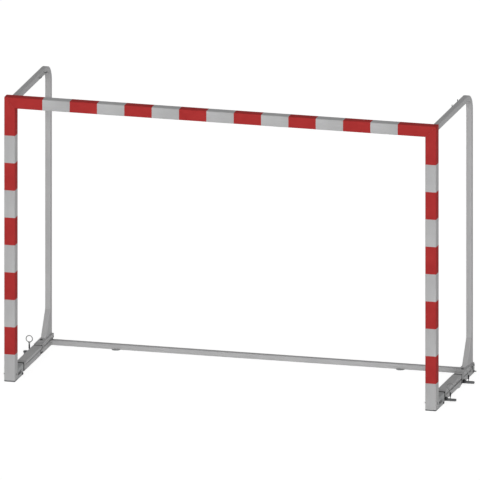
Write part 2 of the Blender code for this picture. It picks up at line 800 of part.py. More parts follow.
def build_rear_bar():
    """Rectangular tube along the floor behind the goal."""
    end = RAIL_INNER_X - CLEARANCE
    outer = rounded(rectangle((BAR_FRONT, 0.0), (BAR_BACK, BAR_TOP)), HOOP_CORNER, steps=2)
    wall = BAR_WALL
    hollow = rectangle((BAR_FRONT + wall, wall), (BAR_BACK - wall, BAR_TOP - wall))
    inner = rounded(hollow, HOOP_CORNER / 2, steps=2)
    finished(prism("rear_bar", [outer, inner], "YZ", -end, end), silver)


def build_floor_plate():
    """Round-nosed plate along the front of the rear bar, with a hole for a floor screw."""
    back = BAR_FRONT - CLEARANCE
    loop = []
    for step in range(17):
        angle = math.pi * (1 + step / 16)
        loop.append((PLATE_X + PLATE_RADIUS * math.cos(angle), back + PLATE_RADIUS * math.sin(angle)))
    hole = circle((PLATE_X, BAR_FRONT - PLATE_HOLE_FROM_BAR), PLATE_HOLE_RADIUS, steps=16)
    on_both_sides(finished(prism("floor_plate", [loop, hole], "XY", 0.0, PLATE_THICKNESS), galvanised))


def build_corner_plate():
    """Clamp plate outside the rear rail, with two bolt heads and the long end of the rear bar's bolt."""
    face = RAIL_OUTER_X + CLEARANCE
    surface = face + CORNER_PLATE
    upper = (RAIL_GROOVE_Z + RAIL_GROOVE_HEIGHT + REAR_RAIL_HEIGHT) / 2
    lower = RAIL_GROOVE_Z / 2
    back = HOOP_Y + HOOP_TUBE / 2
    margin = 2 * CORNER_BOLT_RADIUS
    outline = rounded(
        [
            (back - CORNER_PLATE_LENGTH, upper - margin),
            (HOOP_Y - margin, upper - margin),
            (HOOP_Y - margin, lower - margin),
            (back, lower - margin),
            (back, upper + margin),
            (back - CORNER_PLATE_LENGTH, upper + margin),
        ],
        RAIL_CORNER,
        steps=3,
    )
    plate = prism("corner_plate", [outline], "YZ", face, surface)
    ends = [
        (back - CORNER_PLATE_LENGTH + CORNER_BOLT_FROM_END, upper, CORNER_BOLT_RADIUS, CORNER_BOLT_HEAD),
        (HOOP_Y, upper, CORNER_BOLT_RADIUS, CORNER_BOLT_HEAD),
        (HOOP_Y, lower, BAR_BOLT_RADIUS, BAR_BOLT_END),
    ]
    bolts = [
        rod("bolt", radius, (face + CORNER_PLATE / 2, place, height), (surface + proud, place, height), 12)
        for place, height, radius, proud in ends
    ]
    combined(plate, bolts, "UNION")
    on_both_sides(finished(plate, zinc))


def build_side_hook():
    """C-shaped net hook on the outside of the rail."""
    face = RAIL_OUTER_X + CLEARANCE
    place = -FRONT - SIDE_HOOK_FROM_BACK
    bend = (SIDE_HOOK_HIGH - SIDE_HOOK_LOW) / 2
    reach = SIDE_HOOK_REACH - bend - SIDE_HOOK_WIRE
    points = [(face, place, SIDE_HOOK_HIGH)]
    steps = 10
    for step in range(steps + 1):
        angle = math.pi * (0.5 - step / steps)
        across = face + reach + bend * math.cos(angle)
        points.append((across, place, SIDE_HOOK_LOW + bend + bend * math.sin(angle)))
    on_both_sides(finished(wire("side_hook", points, SIDE_HOOK_WIRE), zinc))


def build_hoop_hooks():
    """Strip with two small net hooks on the inner side of the hoop's top tube."""
    face = POST_X - HOOP_TUBE / 2 - CLEARANCE
    half = HOOK_WIRE
    low = -FRONT - HOOP_HOOK_FIRST - HOOK_WIRE
    high = low + HOOP_HOOK_SPACING + 2 * HOOK_WIRE
    strip = box("hoop_hooks", (face - HOOK_STRIP, low, HOOP_Z - half), (face, high, HOOP_Z + half))
    tip = face - HOOP_HOOK_REACH
    outline = [
        (face - HOOK_STRIP / 2, HOOP_Z),
        (face - HOOK_STRIP / 2, HOOP_Z - half),
        (tip, HOOP_Z - half),
        (tip, HOOP_Z + HOOP_HOOK_LIFT),
        (tip + HOOK_WIRE, HOOP_Z + HOOP_HOOK_LIFT),
        (tip + HOOK_WIRE, HOOP_Z),
    ]
    hooks = []
    for middle in (low + HOOK_WIRE, high - HOOK_WIRE):
        hooks.append(prism("hook", [outline], "XZ", middle - HOOK_HALF_WIDTH, middle + HOOK_HALF_WIDTH))
    combined(strip, hooks, "UNION")
    on_both_sides(finished(strip, dark_plastic))


def hook_strip(name, plane, across, start, end, places):
    """Moulded T-section strip in the net groove, with a hook at each place along it."""
    foot_front = POST_BACK - GROOVE_DEPTH + CLEARANCE
    foot_back = POST_BACK - GROOVE_LIP - CLEARANCE
    surface = POST_BACK + HOOK_STRIP / 2
    neck = GROOVE_MOUTH / 2 - CLEARANCE
    foot = GROOVE_WIDTH / 2 - CLEARANCE
    right_half = [(foot, foot_front), (foot, foot_back), (neck, foot_back), (neck, surface)]
    section = right_half + [(-x, y) for x, y in reversed(right_half)]
    tip = POST_BACK + HOOK_REACH
    side = [
        (foot_back, -HOOK_WIRE),
        (tip, -HOOK_WIRE),
        (tip, 2 * HOOK_WIRE),
        (tip - HOOK_WIRE, 2 * HOOK_WIRE),
        (tip - HOOK_WIRE, 0.0),
        (foot_back, 0.0),
    ]
    width = HOOK_HALF_WIDTH
    if plane == "XY":
        strip = prism(name, [[(x + across, y) for x, y in section]], "XY", start, end)
        hooks = [
            prism("hook", [[(y, z + place) for y, z in side]], "YZ", across - width, across + width)
            for place in places
        ]
    else:
        strip = prism(name, [[(y, x + across) for x, y in section]], "YZ", start, end)
        level = across + HOOK_WIRE - width
        hooks = [
            prism("hook", [[(y, z + level) for y, z in side]], "YZ", place - width, place + width)
            for place in places
        ]
    return finished(combined(strip, hooks, "UNION"), dark_plastic)


def build_groove_hooks():
    """Hook strips along the grooves of the posts and of the crossbar, hooks at an even pitch."""
    low = BRACKET_HEIGHT + CLEARANCE
    high = CLEAR_HEIGHT
    count = int((high - low - HOOK_PITCH / 2) / HOOK_PITCH)
    places = [HOOK_PITCH * (index + 1) for index in range(count)]
    on_both_sides(hook_strip("post_hooks", "XY", POST_X, low, high, places))
    end = POST_X - HOOP_TUBE / 2 - CLEARANCE
    half_count = int((end - HOOK_WIRE) / HOOK_PITCH)
    places = [HOOK_PITCH * index for index in range(-half_count, half_count + 1)]
    hook_strip("crossbar_hooks", "YZ", BAR_Z, -end, end, places)


clear_scene()
parts = new_collection("handball_goal")
right_side = bpy.data.objects.new("right_side", None)
left_side = bpy.data.objects.new("left_side", None)
left_side.scale.x = -1.0
for side_empty in (right_side, left_side):
    parts.objects.link(side_empty)

silver = new_material("anodised_aluminium", (0.46, 0.46, 0.47), 0.42, 0.9)
red = new_material("red_powder_coat", (0.42, 0.03, 0.03), 0.45, 0.0)
cast_grey = new_material("cast_aluminium", (0.30, 0.30, 0.31), 0.55, 0.8)
galvanised = new_material("galvanised_steel", (0.36, 0.37, 0.38), 0.5, 0.85)
zinc = new_material("zinc_plated_steel", (0.55, 0.55, 0.54), 0.35, 0.95)
dark_plastic = new_material("dark_polyamide", (0.10, 0.10, 0.105), 0.55, 0.0)
black = new_material("black_coated_steel", (0.03, 0.03, 0.032), 0.5, 0.2)

build_post()
build_crossbar()
build_corner_connector()
build_post_cap()
build_foot_bracket()
build_cross_pin()
build_post_bolt()
build_front_joint()
build_nose("front_nose", RAIL_HEIGHT, RAIL_LIP, NOSE_START)
build_rail("ground_rail", RAIL_HEIGHT, RAIL_LIP, RAIL_START + CLEARANCE, RAIL_END)
build_rear_joint()
build_nose("rear_nose", REAR_RAIL_HEIGHT, REAR_RAIL_LIP, REAR_NOSE_START)
build_rail("rear_rail", REAR_RAIL_HEIGHT, REAR_RAIL_LIP, REAR_RAIL_START + CLEARANCE, REAR_RAIL_END)
build_rail_end_cap()
for lug_name, nose_start in (("front", NOSE_START), ("rear", REAR_NOSE_START)):
    bolt_y = build_lug("anchor_lug_" + lug_name, nose_start)
    build_ring_bolt(lug_name, bolt_y)
build_hoop()
build_hoop_plugs()
build_wedge()
build_rear_bar()
build_floor_plate()
build_corner_plate()
build_side_hook()
build_hoop_hooks()
build_groove_hooks()
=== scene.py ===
"""Dresses the handball goal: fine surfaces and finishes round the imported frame, a pale floor, the camera."""

import math

import bpy
import numpy as np
from mathutils import Matrix, Vector


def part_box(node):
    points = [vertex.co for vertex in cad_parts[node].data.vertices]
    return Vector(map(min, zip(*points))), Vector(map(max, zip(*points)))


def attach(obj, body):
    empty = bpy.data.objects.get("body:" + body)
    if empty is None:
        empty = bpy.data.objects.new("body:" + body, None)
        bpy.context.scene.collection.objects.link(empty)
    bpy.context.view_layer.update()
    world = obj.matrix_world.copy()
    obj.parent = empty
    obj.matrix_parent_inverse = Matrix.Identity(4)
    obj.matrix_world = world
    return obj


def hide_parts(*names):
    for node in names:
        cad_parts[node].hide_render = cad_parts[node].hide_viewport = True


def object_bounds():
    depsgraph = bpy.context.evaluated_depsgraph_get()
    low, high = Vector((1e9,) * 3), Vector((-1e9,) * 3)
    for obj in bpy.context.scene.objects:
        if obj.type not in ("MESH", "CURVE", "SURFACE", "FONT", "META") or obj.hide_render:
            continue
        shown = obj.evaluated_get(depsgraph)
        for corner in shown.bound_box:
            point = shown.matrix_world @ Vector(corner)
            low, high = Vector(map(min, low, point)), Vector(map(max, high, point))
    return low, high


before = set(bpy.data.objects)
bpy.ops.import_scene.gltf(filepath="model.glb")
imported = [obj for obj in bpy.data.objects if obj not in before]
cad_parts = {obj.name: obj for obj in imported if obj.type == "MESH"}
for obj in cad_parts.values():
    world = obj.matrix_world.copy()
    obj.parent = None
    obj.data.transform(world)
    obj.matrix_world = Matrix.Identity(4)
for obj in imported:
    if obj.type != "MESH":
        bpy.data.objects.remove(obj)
cad_low, cad_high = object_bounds()

# Places from the frame, on the right-hand side; the left one mirrors them. All sizes are in metres
POST_LOW, POST_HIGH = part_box("right_post")
BAR_LOW, BAR_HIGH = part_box("crossbar")
CAP_LOW, CAP_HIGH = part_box("right_post_cap")
BRACKET_LOW, BRACKET_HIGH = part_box("right_foot_bracket")
PIN_LOW, PIN_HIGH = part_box("right_cross_pin")
FOOT_BOLT_LOW, FOOT_BOLT_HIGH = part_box("right_post_bolt")
FRONT_JOINT_LOW, FRONT_JOINT_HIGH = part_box("right_front_joint")
RAIL_LOW, RAIL_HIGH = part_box("right_ground_rail")
REAR_RAIL_LOW, REAR_RAIL_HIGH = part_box("right_rear_rail")
END_CAP_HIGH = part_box("right_rail_end_cap")[1]
HOOP_LOW, HOOP_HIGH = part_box("right_hoop")
WEDGE_LOW, WEDGE_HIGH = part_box("right_wedge_foot")
REAR_BAR_LOW, REAR_BAR_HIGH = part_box("rear_bar")
FLOOR_PLATE_LOW, FLOOR_PLATE_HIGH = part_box("right_floor_plate")
CORNER_LOW, CORNER_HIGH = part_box("right_corner_plate")
SIDE_HOOK_LOW, SIDE_HOOK_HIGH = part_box("right_side_hook")
HOOP_HOOKS_LOW, HOOP_HOOKS_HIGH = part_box("right_hoop_hooks")
POST_HOOKS_LOW, POST_HOOKS_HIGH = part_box("right_post_hooks")
BAR_HOOKS_LOW, BAR_HOOKS_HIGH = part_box("crossbar_hooks")

# Goal profile
PROFILE = POST_HIGH.x - POST_LOW.x
PROFILE_CORNER = 0.007
SEAM = 0.0002
COAT = 0.00012
BAND = 0.200
CORNER_BAND = 0.280
BAND_STEP = 0.0002
GROOVE_MOUTH = 0.008
GROOVE_WIDTH = 0.014
GROOVE_LIP = 0.003
GROOVE_DEPTH = 0.008
GROOVE_CORNER = 0.0004
RIM = 0.0005
RIM_TURNS = 3
JOINED_RIM = 0.0001
MOULDED_RIM = 0.0012
MOULDED_TURNS = 4

# Foot bracket
BRACKET_SHEET = 0.006
BRACKET_BEND = 0.009
BRACKET_EDGE = 0.0007
BRACKET_SHOWN_END = 0.021
SLOT_START = 0.010
SLOT_LENGTH = 0.101
SLOT_HEIGHT = 0.023
SLOT_Z = 0.037
SLOT_CORNER = 0.0065
PIN_HOLE = 0.0053
PIN_HEAD = 0.006
FOOT_BOLT = 0.004
FOOT_BOLT_END = 0.013

# Ground rails
LOWER_WIDTH = 0.054
GROOVE_Z = 0.036
GROOVE_HEIGHT = 0.010
SIDE_GROOVE_DEPTH = 0.014
LIP_LINE_Z = 0.0478
LIP_LINE_HEIGHT = 0.0057
LIP_LINE_DEPTH = 0.01
RAIL_CORNER = 0.002
CAST_CORNER = 0.0032
NOSE_LENGTH = 0.050
NOSE_RADIUS = 0.034
JOINT_GAP = 0.022
JOINT_INSET = 0.0012
COLLAR_LENGTH = 0.030
COLLAR_BOTTOM = 0.029
GAP = 0.0003

# Anchor lugs and ring bolts
LUG_THICKNESS = 0.012
LUG_EDGE = 0.0022
LUG_END_ROUND = 0.0155
LUG_END_SHARE = 0.9995
LUG_END_POWER = 2.6
LUG_ROOT_LENGTH = 0.024
LUG_HOLE = 0.0041
LUG_HOLE_SINK = 0.001
# The lugs' painted shade at the root fades out from the first length past the rail, over the second
LUG_PAINTED_SHADE_FADE_FROM = 0.010
LUG_PAINTED_SHADE_FADE_OVER = 0.020
BOLT_RADIUS = 0.0035
THREAD_PITCH = 0.00125
THREAD_DEPTH = 0.0007
RING_WIRE = 0.00325
NECK_WIDTH = 0.0088
NECK_DEPTH = 0.0028
SLEEVE_RADIUS = 0.0055
SLEEVE_CHAMFER = 0.0008
NECK_FOOT = 0.9 * SLEEVE_RADIUS
SHANK_IN_NECK = 0.004

# Hoops, wedge feet and rear bar
TUBE_CORNER = 0.003
HOOP_BEND = 0.110
BEND_STEPS = 28
WEDGE_FOLD = 0.004
WEDGE_BACK_CORNER = 0.0003
WEDGE_FLANGE = 0.066
WEDGE_TOP_SHARE = 0.985
WEDGE_SHEET = 0.0025
WEDGE_SCREW = 0.054
WEDGE_HEAD = 0.011
WEDGE_HEAD_HEIGHT = 0.005
PLATE_HOLE = 0.005
PLATE_SINK = 0.002
PLATE_HOLE_FROM_BAR = 0.012
CORNER_SHEET = 0.003
CLAMP_CORNER = 0.0035
CLAMP_BOLT = 0.018
HEX_BOLT = 0.0065
HEX_HEAD = 0.004
HEX_NUT = 0.0055
WASHER = 0.0082
WASHER_SHEET = 0.001
WASHER_EDGE = 0.0002
BAR_BOLT = 0.0045

# Net hooks
HOOK_PITCH = 0.200
HOOK_WIRE = 0.004
HOOK_HALF_WIDTH = 0.0033
HOOP_HOOK_HALF_WIDTH = 0.0055
HOOK_BEND = 0.0055
HOOK_CORNER = 0.0011
HOOK_TIP_SHARE = 0.8
HOOK_SEAT = 0.001
POST_HOOK_LIFT = 0.0095
HOOP_STRIP = 0.002
HOOP_STRIP_CORNER = 0.0015
SIDE_WIRE = 0.0022

# View of the photograph: an orthographic one, in pixels of its 480 by 480 frame
IMAGE = 480
PIXELS_PER_METRE = 141.52
AZIMUTH = math.radians(15)
ELEVATION = math.radians(15)
GOAL_LINE_PIXEL = (220.0, 396.4)
CAMERA_DISTANCE = 9.0

# Light and floor
LAMP_WAY = (-0.23, 0.97, -0.06)
LAMP_STRENGTH = 2.05
LAMP_SOFTNESS = 35
LIGHT_AT_HORIZON = 0.5
LIGHT_ABOVE = 0.36
FLOOR_REACH = 60.0
FLOOR_DROP = 0.0004
FLOOR_GLOW = 0.86

# Sides by sign, planes as the axes across, up and along, smoothing angle, an arc's share of a side
SIDES = {"right": 1.0, "left": -1.0}
AXES = {"XY": (0, 1, 2), "XZ": (0, 2, 1), "YZ": (1, 2, 0)}
SMOOTH_BELOW = 32.0
ARC_SHARE = 0.48


# Surfaces


def unit(vectors):
    """The vectors, each at length 1."""
    return vectors / np.linalg.norm(vectors, axis=-1, keepdims=True)


def full_turn(count):
    """Equal angles round a full turn."""
    return np.arange(count) * 2 * np.pi / count


def rounded(corners, radii, steps=6):
    """Closed outline with an arc at each corner, tangent to both sides and sampled at equal angles. Its
    centre is on the bisector at radius / sin of half the corner's angle. No arc takes quite half a side."""
    corners = np.array(corners, float)
    radii = np.broadcast_to(np.array(radii, float), len(corners))
    before = np.roll(corners, 1, 0) - corners
    after = np.roll(corners, -1, 0) - corners
    room = ARC_SHARE * np.minimum(np.linalg.norm(before, axis=1), np.linalg.norm(after, axis=1))
    before, after = unit(before), unit(after)
    half = np.arccos(np.clip((before * after).sum(1), -1, 1)) / 2
    reach = np.minimum(radii / np.tan(half), room)
    radii = reach * np.tan(half)
    centre = corners + unit(before + after) * (radii / np.sin(half))[:, None]
    first = corners + before * reach[:, None] - centre
    last = corners + after * reach[:, None] - centre
    start = np.arctan2(first[:, 1], first[:, 0])
    sweep = (np.arctan2(last[:, 1], last[:, 0]) - start + np.pi) % (2 * np.pi) - np.pi
    angle = start[:, None] + sweep[:, None] * np.linspace(0, 1, steps + 1)
    arc = np.stack([np.cos(angle), np.sin(angle)], -1) * radii[:, None, None]
    return (centre[:, None] + arc).reshape(-1, 2)


def rectangle(low, high):
    """Corners of a rectangle, anticlockwise."""
    return [(low[0], low[1]), (high[0], low[1]), (high[0], high[1]), (low[0], high[1])]


def outward(outline):
    """Unit normals of an anticlockwise outline: each point's tangent turned a quarter turn clockwise."""
    tangent = np.roll(outline, -1, 0) - np.roll(outline, 1, 0)
    return unit(np.stack([tangent[:, 1], -tangent[:, 0]], -1))


def skin(points, ends=True, paint=0):
    """Quads over a grid of points whose columns close on themselves. With ends, one face closes the first
    row and one the last, in the first row's paint; without, the rows close too. UV is in metres, u along a
    row and v from row to row. Faces are turned over where the volume inside comes out negative."""
    rows, columns = points.shape[:2]
    index = np.arange(rows * columns).reshape(rows, columns)
    below = index[:-1] if ends else index
    above = index[1:] if ends else np.roll(index, -1, 0)
    quads = np.stack([below, np.roll(below, -1, 1), np.roll(above, -1, 1), above], -1).reshape(-1, 4)
    steps_u = np.linalg.norm(np.roll(points, -1, 1) - points, axis=2)
    u = np.r_[0.0, np.cumsum(steps_u[steps_u.sum(1).argmax()])]
    steps_v = np.linalg.norm(np.roll(points, -1, 0) - points, axis=2).mean(1)
    v = np.r_[0.0, np.cumsum(steps_v)]
    count = len(below)
    left, low = np.meshgrid(u[:-1], v[:count])
    right, high = np.meshgrid(u[1:], v[1 : count + 1])
    uv = np.stack([left, low, right, low, right, high, left, high], -1).reshape(-1, 4, 2)
    faces = quads.tolist()
    marks = uv.tolist()
    paints = np.repeat(np.broadcast_to(paint, count), columns).tolist()
    verts = points.reshape(-1, 3)
    a, b, c, d = (verts[corner] for corner in quads.T)
    volume = (a * (np.cross(b, c) + np.cross(c, d))).sum()
    if ends:
        for row, face in ((0, index[0][::-1]), (-1, index[-1])):
            plane = np.sort(np.argsort(np.ptp(points[row], axis=0))[1:])
            fan = verts[face]
            volume += (np.cross(fan[1:-1], fan[2:]) @ fan[0]).sum()
            faces.append(face.tolist())
            marks.append(fan[:, plane].tolist())
            paints.append(paints[0])
    if volume < 0:
        faces = [face[::-1] for face in faces]
        marks = [mark[::-1] for mark in marks]
    return {"verts": verts, "faces": faces, "marks": marks, "paints": paints}


def lofted(loops, levels, plane, paint=0):
    """Skin through closed outlines, each at its own levels across their plane."""
    points = np.empty(loops.shape[:2] + (3,))
    for axis, value in zip(AXES[plane], (loops[..., 0], loops[..., 1], levels)):
        points[..., axis] = value
    return skin(points, paint=paint)


def rim_rows(radius, turns=RIM_TURNS):
    """Quarter round: at angle a the outline is drawn in by r(1 - sin a), r(1 - cos a) from the end."""
    angle = np.linspace(0, np.pi / 2, turns + 1)
    return radius * (1 - np.sin(angle)), radius * (1 - np.cos(angle))


def slab(outline, plane, start, end, rim=RIM, turns=RIM_TURNS):
    """Outline extruded across its plane, with a quarter round at both rims."""
    drawn, rise = rim_rows(rim, turns)
    insets = np.r_[drawn, drawn[::-1]]
    levels = np.r_[start + rise, (end - rise)[::-1]]
    return lofted(outline - insets[:, None, None] * outward(outline), levels[:, None], plane)


def block(low, high, radii, steps, plane, start, end, rim=RIM, turns=RIM_TURNS):
    """Slab whose outline is a rectangle with round corners."""
    return slab(rounded(rectangle(low, high), radii, steps), plane, start, end, rim, turns)


def carried(section, path, across, up):
    """Section carried along a path: each point is path + x times across + y times up, for each station."""
    section = np.broadcast_to(section, (len(path),) + section.shape[-2:])
    return skin(path[:, None] + section[..., :1] * across[:, None] + section[..., 1:] * up[:, None])


def hexagon(angle):
    """Radius of a hexagon at an angle, for corners at radius 1: cos 30 / cos of the angle from its flat."""
    return math.cos(math.pi / 6) / np.cos(angle % (math.pi / 3) - math.pi / 6)


def round_axis(centre, axis, reach, level):
    """Skin about an axis: a point is centre + reach times the spoke at its angle + level times the axis."""
    along = Vector(axis).normalized()
    across = along.orthogonal().normalized()
    up = along.cross(across)
    angle = full_turn(reach.shape[1])[:, None]
    spoke = np.cos(angle) * np.array(across) + np.sin(angle) * np.array(up)
    return skin(np.array(centre) + reach[..., None] * spoke + level[..., None] * np.array(along))


def turned(radii, heights, centre, axis, columns=36, six_sided=0.0):
    """Profile of radii and heights turned about an axis. six_sided says, row by row, how far the circle is
    drawn to a hexagon."""
    shape = 1 + np.array(six_sided)[..., None] * (hexagon(full_turn(columns)) - 1)
    return round_axis(centre, axis, np.array(radii)[:, None] * shape, np.array(heights)[:, None])


def button_head(centre, axis, radius, height):
    """Low domed head with a hexagon socket: a quarter ellipse from the rim to the socket, then its wall."""
    socket = 0.42 * radius
    angle = np.linspace(0, np.pi / 2, 9)
    skirt = 0.18 * height
    dome = socket + (radius - socket) * np.cos(angle)[1:]
    radii = np.r_[radius * 0.96, radius, dome, socket * 0.94, socket * 0.94]
    dome = skirt + (height - skirt) * np.sin(angle)[1:]
    heights = np.r_[0.0, skirt, dome, height * 0.96, height * 0.35]
    drawn = np.zeros(len(radii))
    drawn[-2:] = 1.0
    return turned(radii, heights, centre, axis, six_sided=drawn)


def hexagon_head(centre, axis, radius, height):
    """Bolt head: a hexagon whose top falls off at 30 degrees, from 0.9 of the circle of its flats out."""
    share = np.r_[0.97, 1.0, 1.0, np.linspace(1.0, 0.1, 8)]
    reach = radius * hexagon(full_turn(48)) * share[:, None]
    top = height - np.maximum(0, reach - 0.9 * radius * math.cos(math.pi / 6)) * math.tan(math.pi / 6)
    level = np.r_[0.0, 0.03 * height, 0.5 * height, np.full(8, height)]
    return round_axis(centre, axis, reach, np.minimum(level[:, None], top))


def thread(centre, axis, radius, start, end, columns=28):
    """Screw thread as a height field on a cylinder: the radius falls by THREAD_DEPTH as the triangle wave of
    height / pitch - angle / full turn does, cut off flat at root and crest. Both its ends start at the
    root and grow over one turn."""
    level = np.linspace(start, end, int((end - start) / THREAD_PITCH * 7))[:, None]
    wave = np.abs(2 * ((level / THREAD_PITCH - full_turn(columns) / (2 * np.pi)) % 1) - 1)
    crest = np.clip(1.5 * wave - 0.2, 0, 1)
    lead = np.clip(np.minimum(level - start, end - level) / THREAD_PITCH, 0, 1)
    return round_axis(centre, axis, radius - THREAD_DEPTH * (1 - crest * lead), level)


def round_wire(path, radius, sides=16):
    """Circle carried along a path in the frame of its tangent, and drawn in to a half round at both ends: a
    ring there is radius (1 - cos a) from the end, and its own radius is radius sin a."""
    tangent = unit(np.gradient(path, axis=0))
    angle = np.linspace(0.12, np.pi / 2, 6)
    back = radius * (1 - np.cos(angle))
    head = path[0] + np.outer(back, tangent[0])
    tail = path[-1] - np.outer(back, tangent[-1])[::-1]
    from_head = np.linalg.norm(path - path[0], axis=1)
    from_tail = np.linalg.norm(path - path[-1], axis=1)
    inside = (from_head > radius) & (from_tail > radius)
    line = np.r_[head, path[inside], tail]
    drawn = radius * np.sin(angle)
    reach = np.r_[drawn, np.full(inside.sum(), radius), drawn[::-1]]
    still = np.ones((len(angle), 1))
    heading = np.r_[still * tangent[0], tangent[inside], still * tangent[-1]]
    across = np.tile(np.eye(3)[np.ptp(path, axis=0).argmin()], (len(line), 1))
    turn = full_turn(sides)
    circle = np.stack([np.cos(turn), np.sin(turn)], -1) * reach[:, None, None]
    return carried(circle, line, across, np.cross(heading, across))


# Finishes


def linear(colour):
    """Linear colour of an sRGB hex value."""
    value = np.array([int(colour[place : place + 2], 16) for place in (0, 2, 4)]) / 255
    bright = ((value + 0.055) / 1.055) ** 2.4
    return (*np.where(value <= 0.04045, value / 12.92, bright), 1.0)


def per(millimetres):
    """Texture scale at which one cell of a pattern is that size."""
    return 1000 / millimetres


def node(tree, kind, inputs=None, **settings):
    """Adds a shader node with its settings, and values or links for its inputs. A node among them is linked
    from its first output."""
    made = tree.nodes.new("ShaderNode" + kind)
    for name, value in settings.items():
        setattr(made, name, value)
    for name, value in (inputs or {}).items():
        if isinstance(value, bpy.types.Node):
            value = value.outputs[0]
        if isinstance(value, bpy.types.NodeSocket):
            tree.links.new(value, made.inputs[name])
        else:
            made.inputs[name].default_value = value
    return made


def finish_of(name, colour, metallic, roughness, mirror):
    """A material with its tree, its shader and the coordinates that its patterns read. mirror is how
    strongly its skin mirrors, next to the metal below it."""
    material = bpy.data.materials.new(name)
    material.use_nodes = True
    tree = material.node_tree
    shader = tree.nodes["Principled BSDF"]
    shader.inputs["Base Color"].default_value = linear(colour)
    shader.inputs["Metallic"].default_value = metallic
    shader.inputs["Roughness"].default_value = roughness
    shader.inputs["Specular IOR Level"].default_value = mirror
    place = node(tree, "TexCoord")
    return material, tree, shader, place


def vary(tree, shader, pattern, colours, roughness, spread=(0.3, 0.7)):
    """Leads a pattern into base colour and roughness. spread is the stretch of the pattern that is used."""
    shade = node(tree, "MapRange", {0: pattern, 1: spread[0], 2: spread[1]})
    ends = {"Factor": shade, "A": linear(colours[0]), "B": linear(colours[1])}
    tint = node(tree, "Mix", ends, data_type="RGBA")
    dull = node(tree, "MapRange", {0: shade, 3: roughness[0], 4: roughness[1]})
    tree.links.new(tint.outputs["Result"], shader.inputs["Base Color"])
    tree.links.new(dull.outputs[0], shader.inputs["Roughness"])


def relief(tree, shader, height, millimetres):
    """Leads a pattern into the shader's normal as a relief of that depth."""
    bump = node(tree, "Bump", {"Height": height, "Distance": millimetres / 1000, "Strength": 1.0})
    tree.links.new(bump.outputs[0], shader.inputs["Normal"])


def clouded(finish, cloud, colours, roughness, grain, depth, spread=(0.3, 0.7)):
    """Gives a finish soft clouds in colour and gloss, and a grain of some depth in millimetres. cloud and
    grain are each a size in millimetres and a level of detail."""
    material, tree, shader, place = finish
    clouds, grains = (
        node(tree, "TexNoise", {"Vector": place.outputs["Object"], "Scale": per(size), "Detail": detail})
        for size, detail in (cloud, grain)
    )
    vary(tree, shader, clouds, colours, roughness, spread)
    relief(tree, shader, grains, depth)
    return material


def anodised_aluminium():
    """Extruded and anodised: a silvery satin skin with faint die lines along the profile."""
    material, tree, shader, place = finish_of("anodised_aluminium", "BBBBBC", 0.15, 0.5, 0.05)
    along = node(tree, "Mapping", {"Vector": place.outputs["UV"], "Scale": (1.0, 0.006, 1.0)})
    fine = {"Vector": along, "Scale": per(1.4), "Detail": 3.0, "Roughness": 0.6}
    lines = node(tree, "TexNoise", fine, noise_dimensions="2D")
    cloud = node(tree, "TexNoise", {"Vector": place.outputs["Object"], "Scale": per(160), "Detail": 2.0})
    soft = node(tree, "Math", {0: cloud, 1: 0.4}, operation="MULTIPLY")
    both = node(tree, "Math", {0: lines, 1: 0.6, 2: soft}, operation="MULTIPLY_ADD")
    vary(tree, shader, both, ("B4B4B5", "C4C4C4"), (0.45, 0.55))
    relief(tree, shader, lines, 0.03)
    return material


def red_powder_coat():
    """Baked powder paint: an even signal red with a soft gloss and the skin of an orange at 1.5 mm."""
    paint = finish_of("red_powder_coat", "B63837", 0.0, 0.45, 0.005)
    return clouded(paint, (90, 3.0), ("B23636", "BA3B3A"), (0.4, 0.5), (1.5, 1.5), 0.06)


def cast_aluminium():
    """Sand cast and shot blasted: a darker, even grey with a grain of 0.8 mm."""
    cast = finish_of("cast_aluminium", "ACACAD", 0.15, 0.6, 0.2)
    return clouded(cast, (22, 4.0), ("A3A3A4", "B4B4B4"), (0.5, 0.62), (0.8, 3.0), 0.12)


def galvanised_steel():
    """Hot-dip galvanised: zinc flowers of 9 mm, each a slightly different grey and gloss."""
    material, tree, shader, place = finish_of("galvanised_steel", "A6A8A8", 0.2, 0.5, 0.2)
    where = place.outputs["Object"]
    flower = node(tree, "TexVoronoi", {"Vector": where, "Scale": per(9), "Randomness": 1.0})
    frost = node(tree, "TexNoise", {"Vector": where, "Scale": per(2.5), "Detail": 4.0})
    shares = {"Factor": 0.45, "A": flower.outputs["Color"], "B": frost}
    mixed = node(tree, "Mix", shares, data_type="FLOAT")
    vary(tree, shader, mixed.outputs["Result"], ("999B9C", "B0B2B2"), (0.4, 0.58), (0.2, 0.8))
    relief(tree, shader, frost, 0.05)
    return material


def zinc_plated_steel():
    """Zinc plate that has weathered: a cold mid grey, dulled and roughened in patches of 7 mm."""
    zinc = finish_of("zinc_plated_steel", "8C8E90", 0.4, 0.42, 0.3)
    return clouded(zinc, (7, 4.0), ("828487", "979896"), (0.34, 0.48), (7, 4.0), 0.02)


def dark_polyamide():
    """Moulded, glass-filled polyamide: dark grey with a spark-eroded grain of 0.7 mm."""
    plastic = finish_of("dark_polyamide", "5C5E60", 0.0, 0.5, 0.2)
    return clouded(plastic, (30, 2.0), ("565859", "626466"), (0.46, 0.58), (0.7, 2.0), 0.08)


def black_coated_steel():
    """Forged steel under a thin black coat: satin, a little greyer where the coat lies thin."""
    coat = finish_of("black_coated_steel", "303133", 0.0, 0.5, 0.12)
    return clouded(coat, (9, 5.0), ("2A2B2D", "39393B"), (0.44, 0.58), (1.1, 2.0), 0.07, (0.3, 0.75))


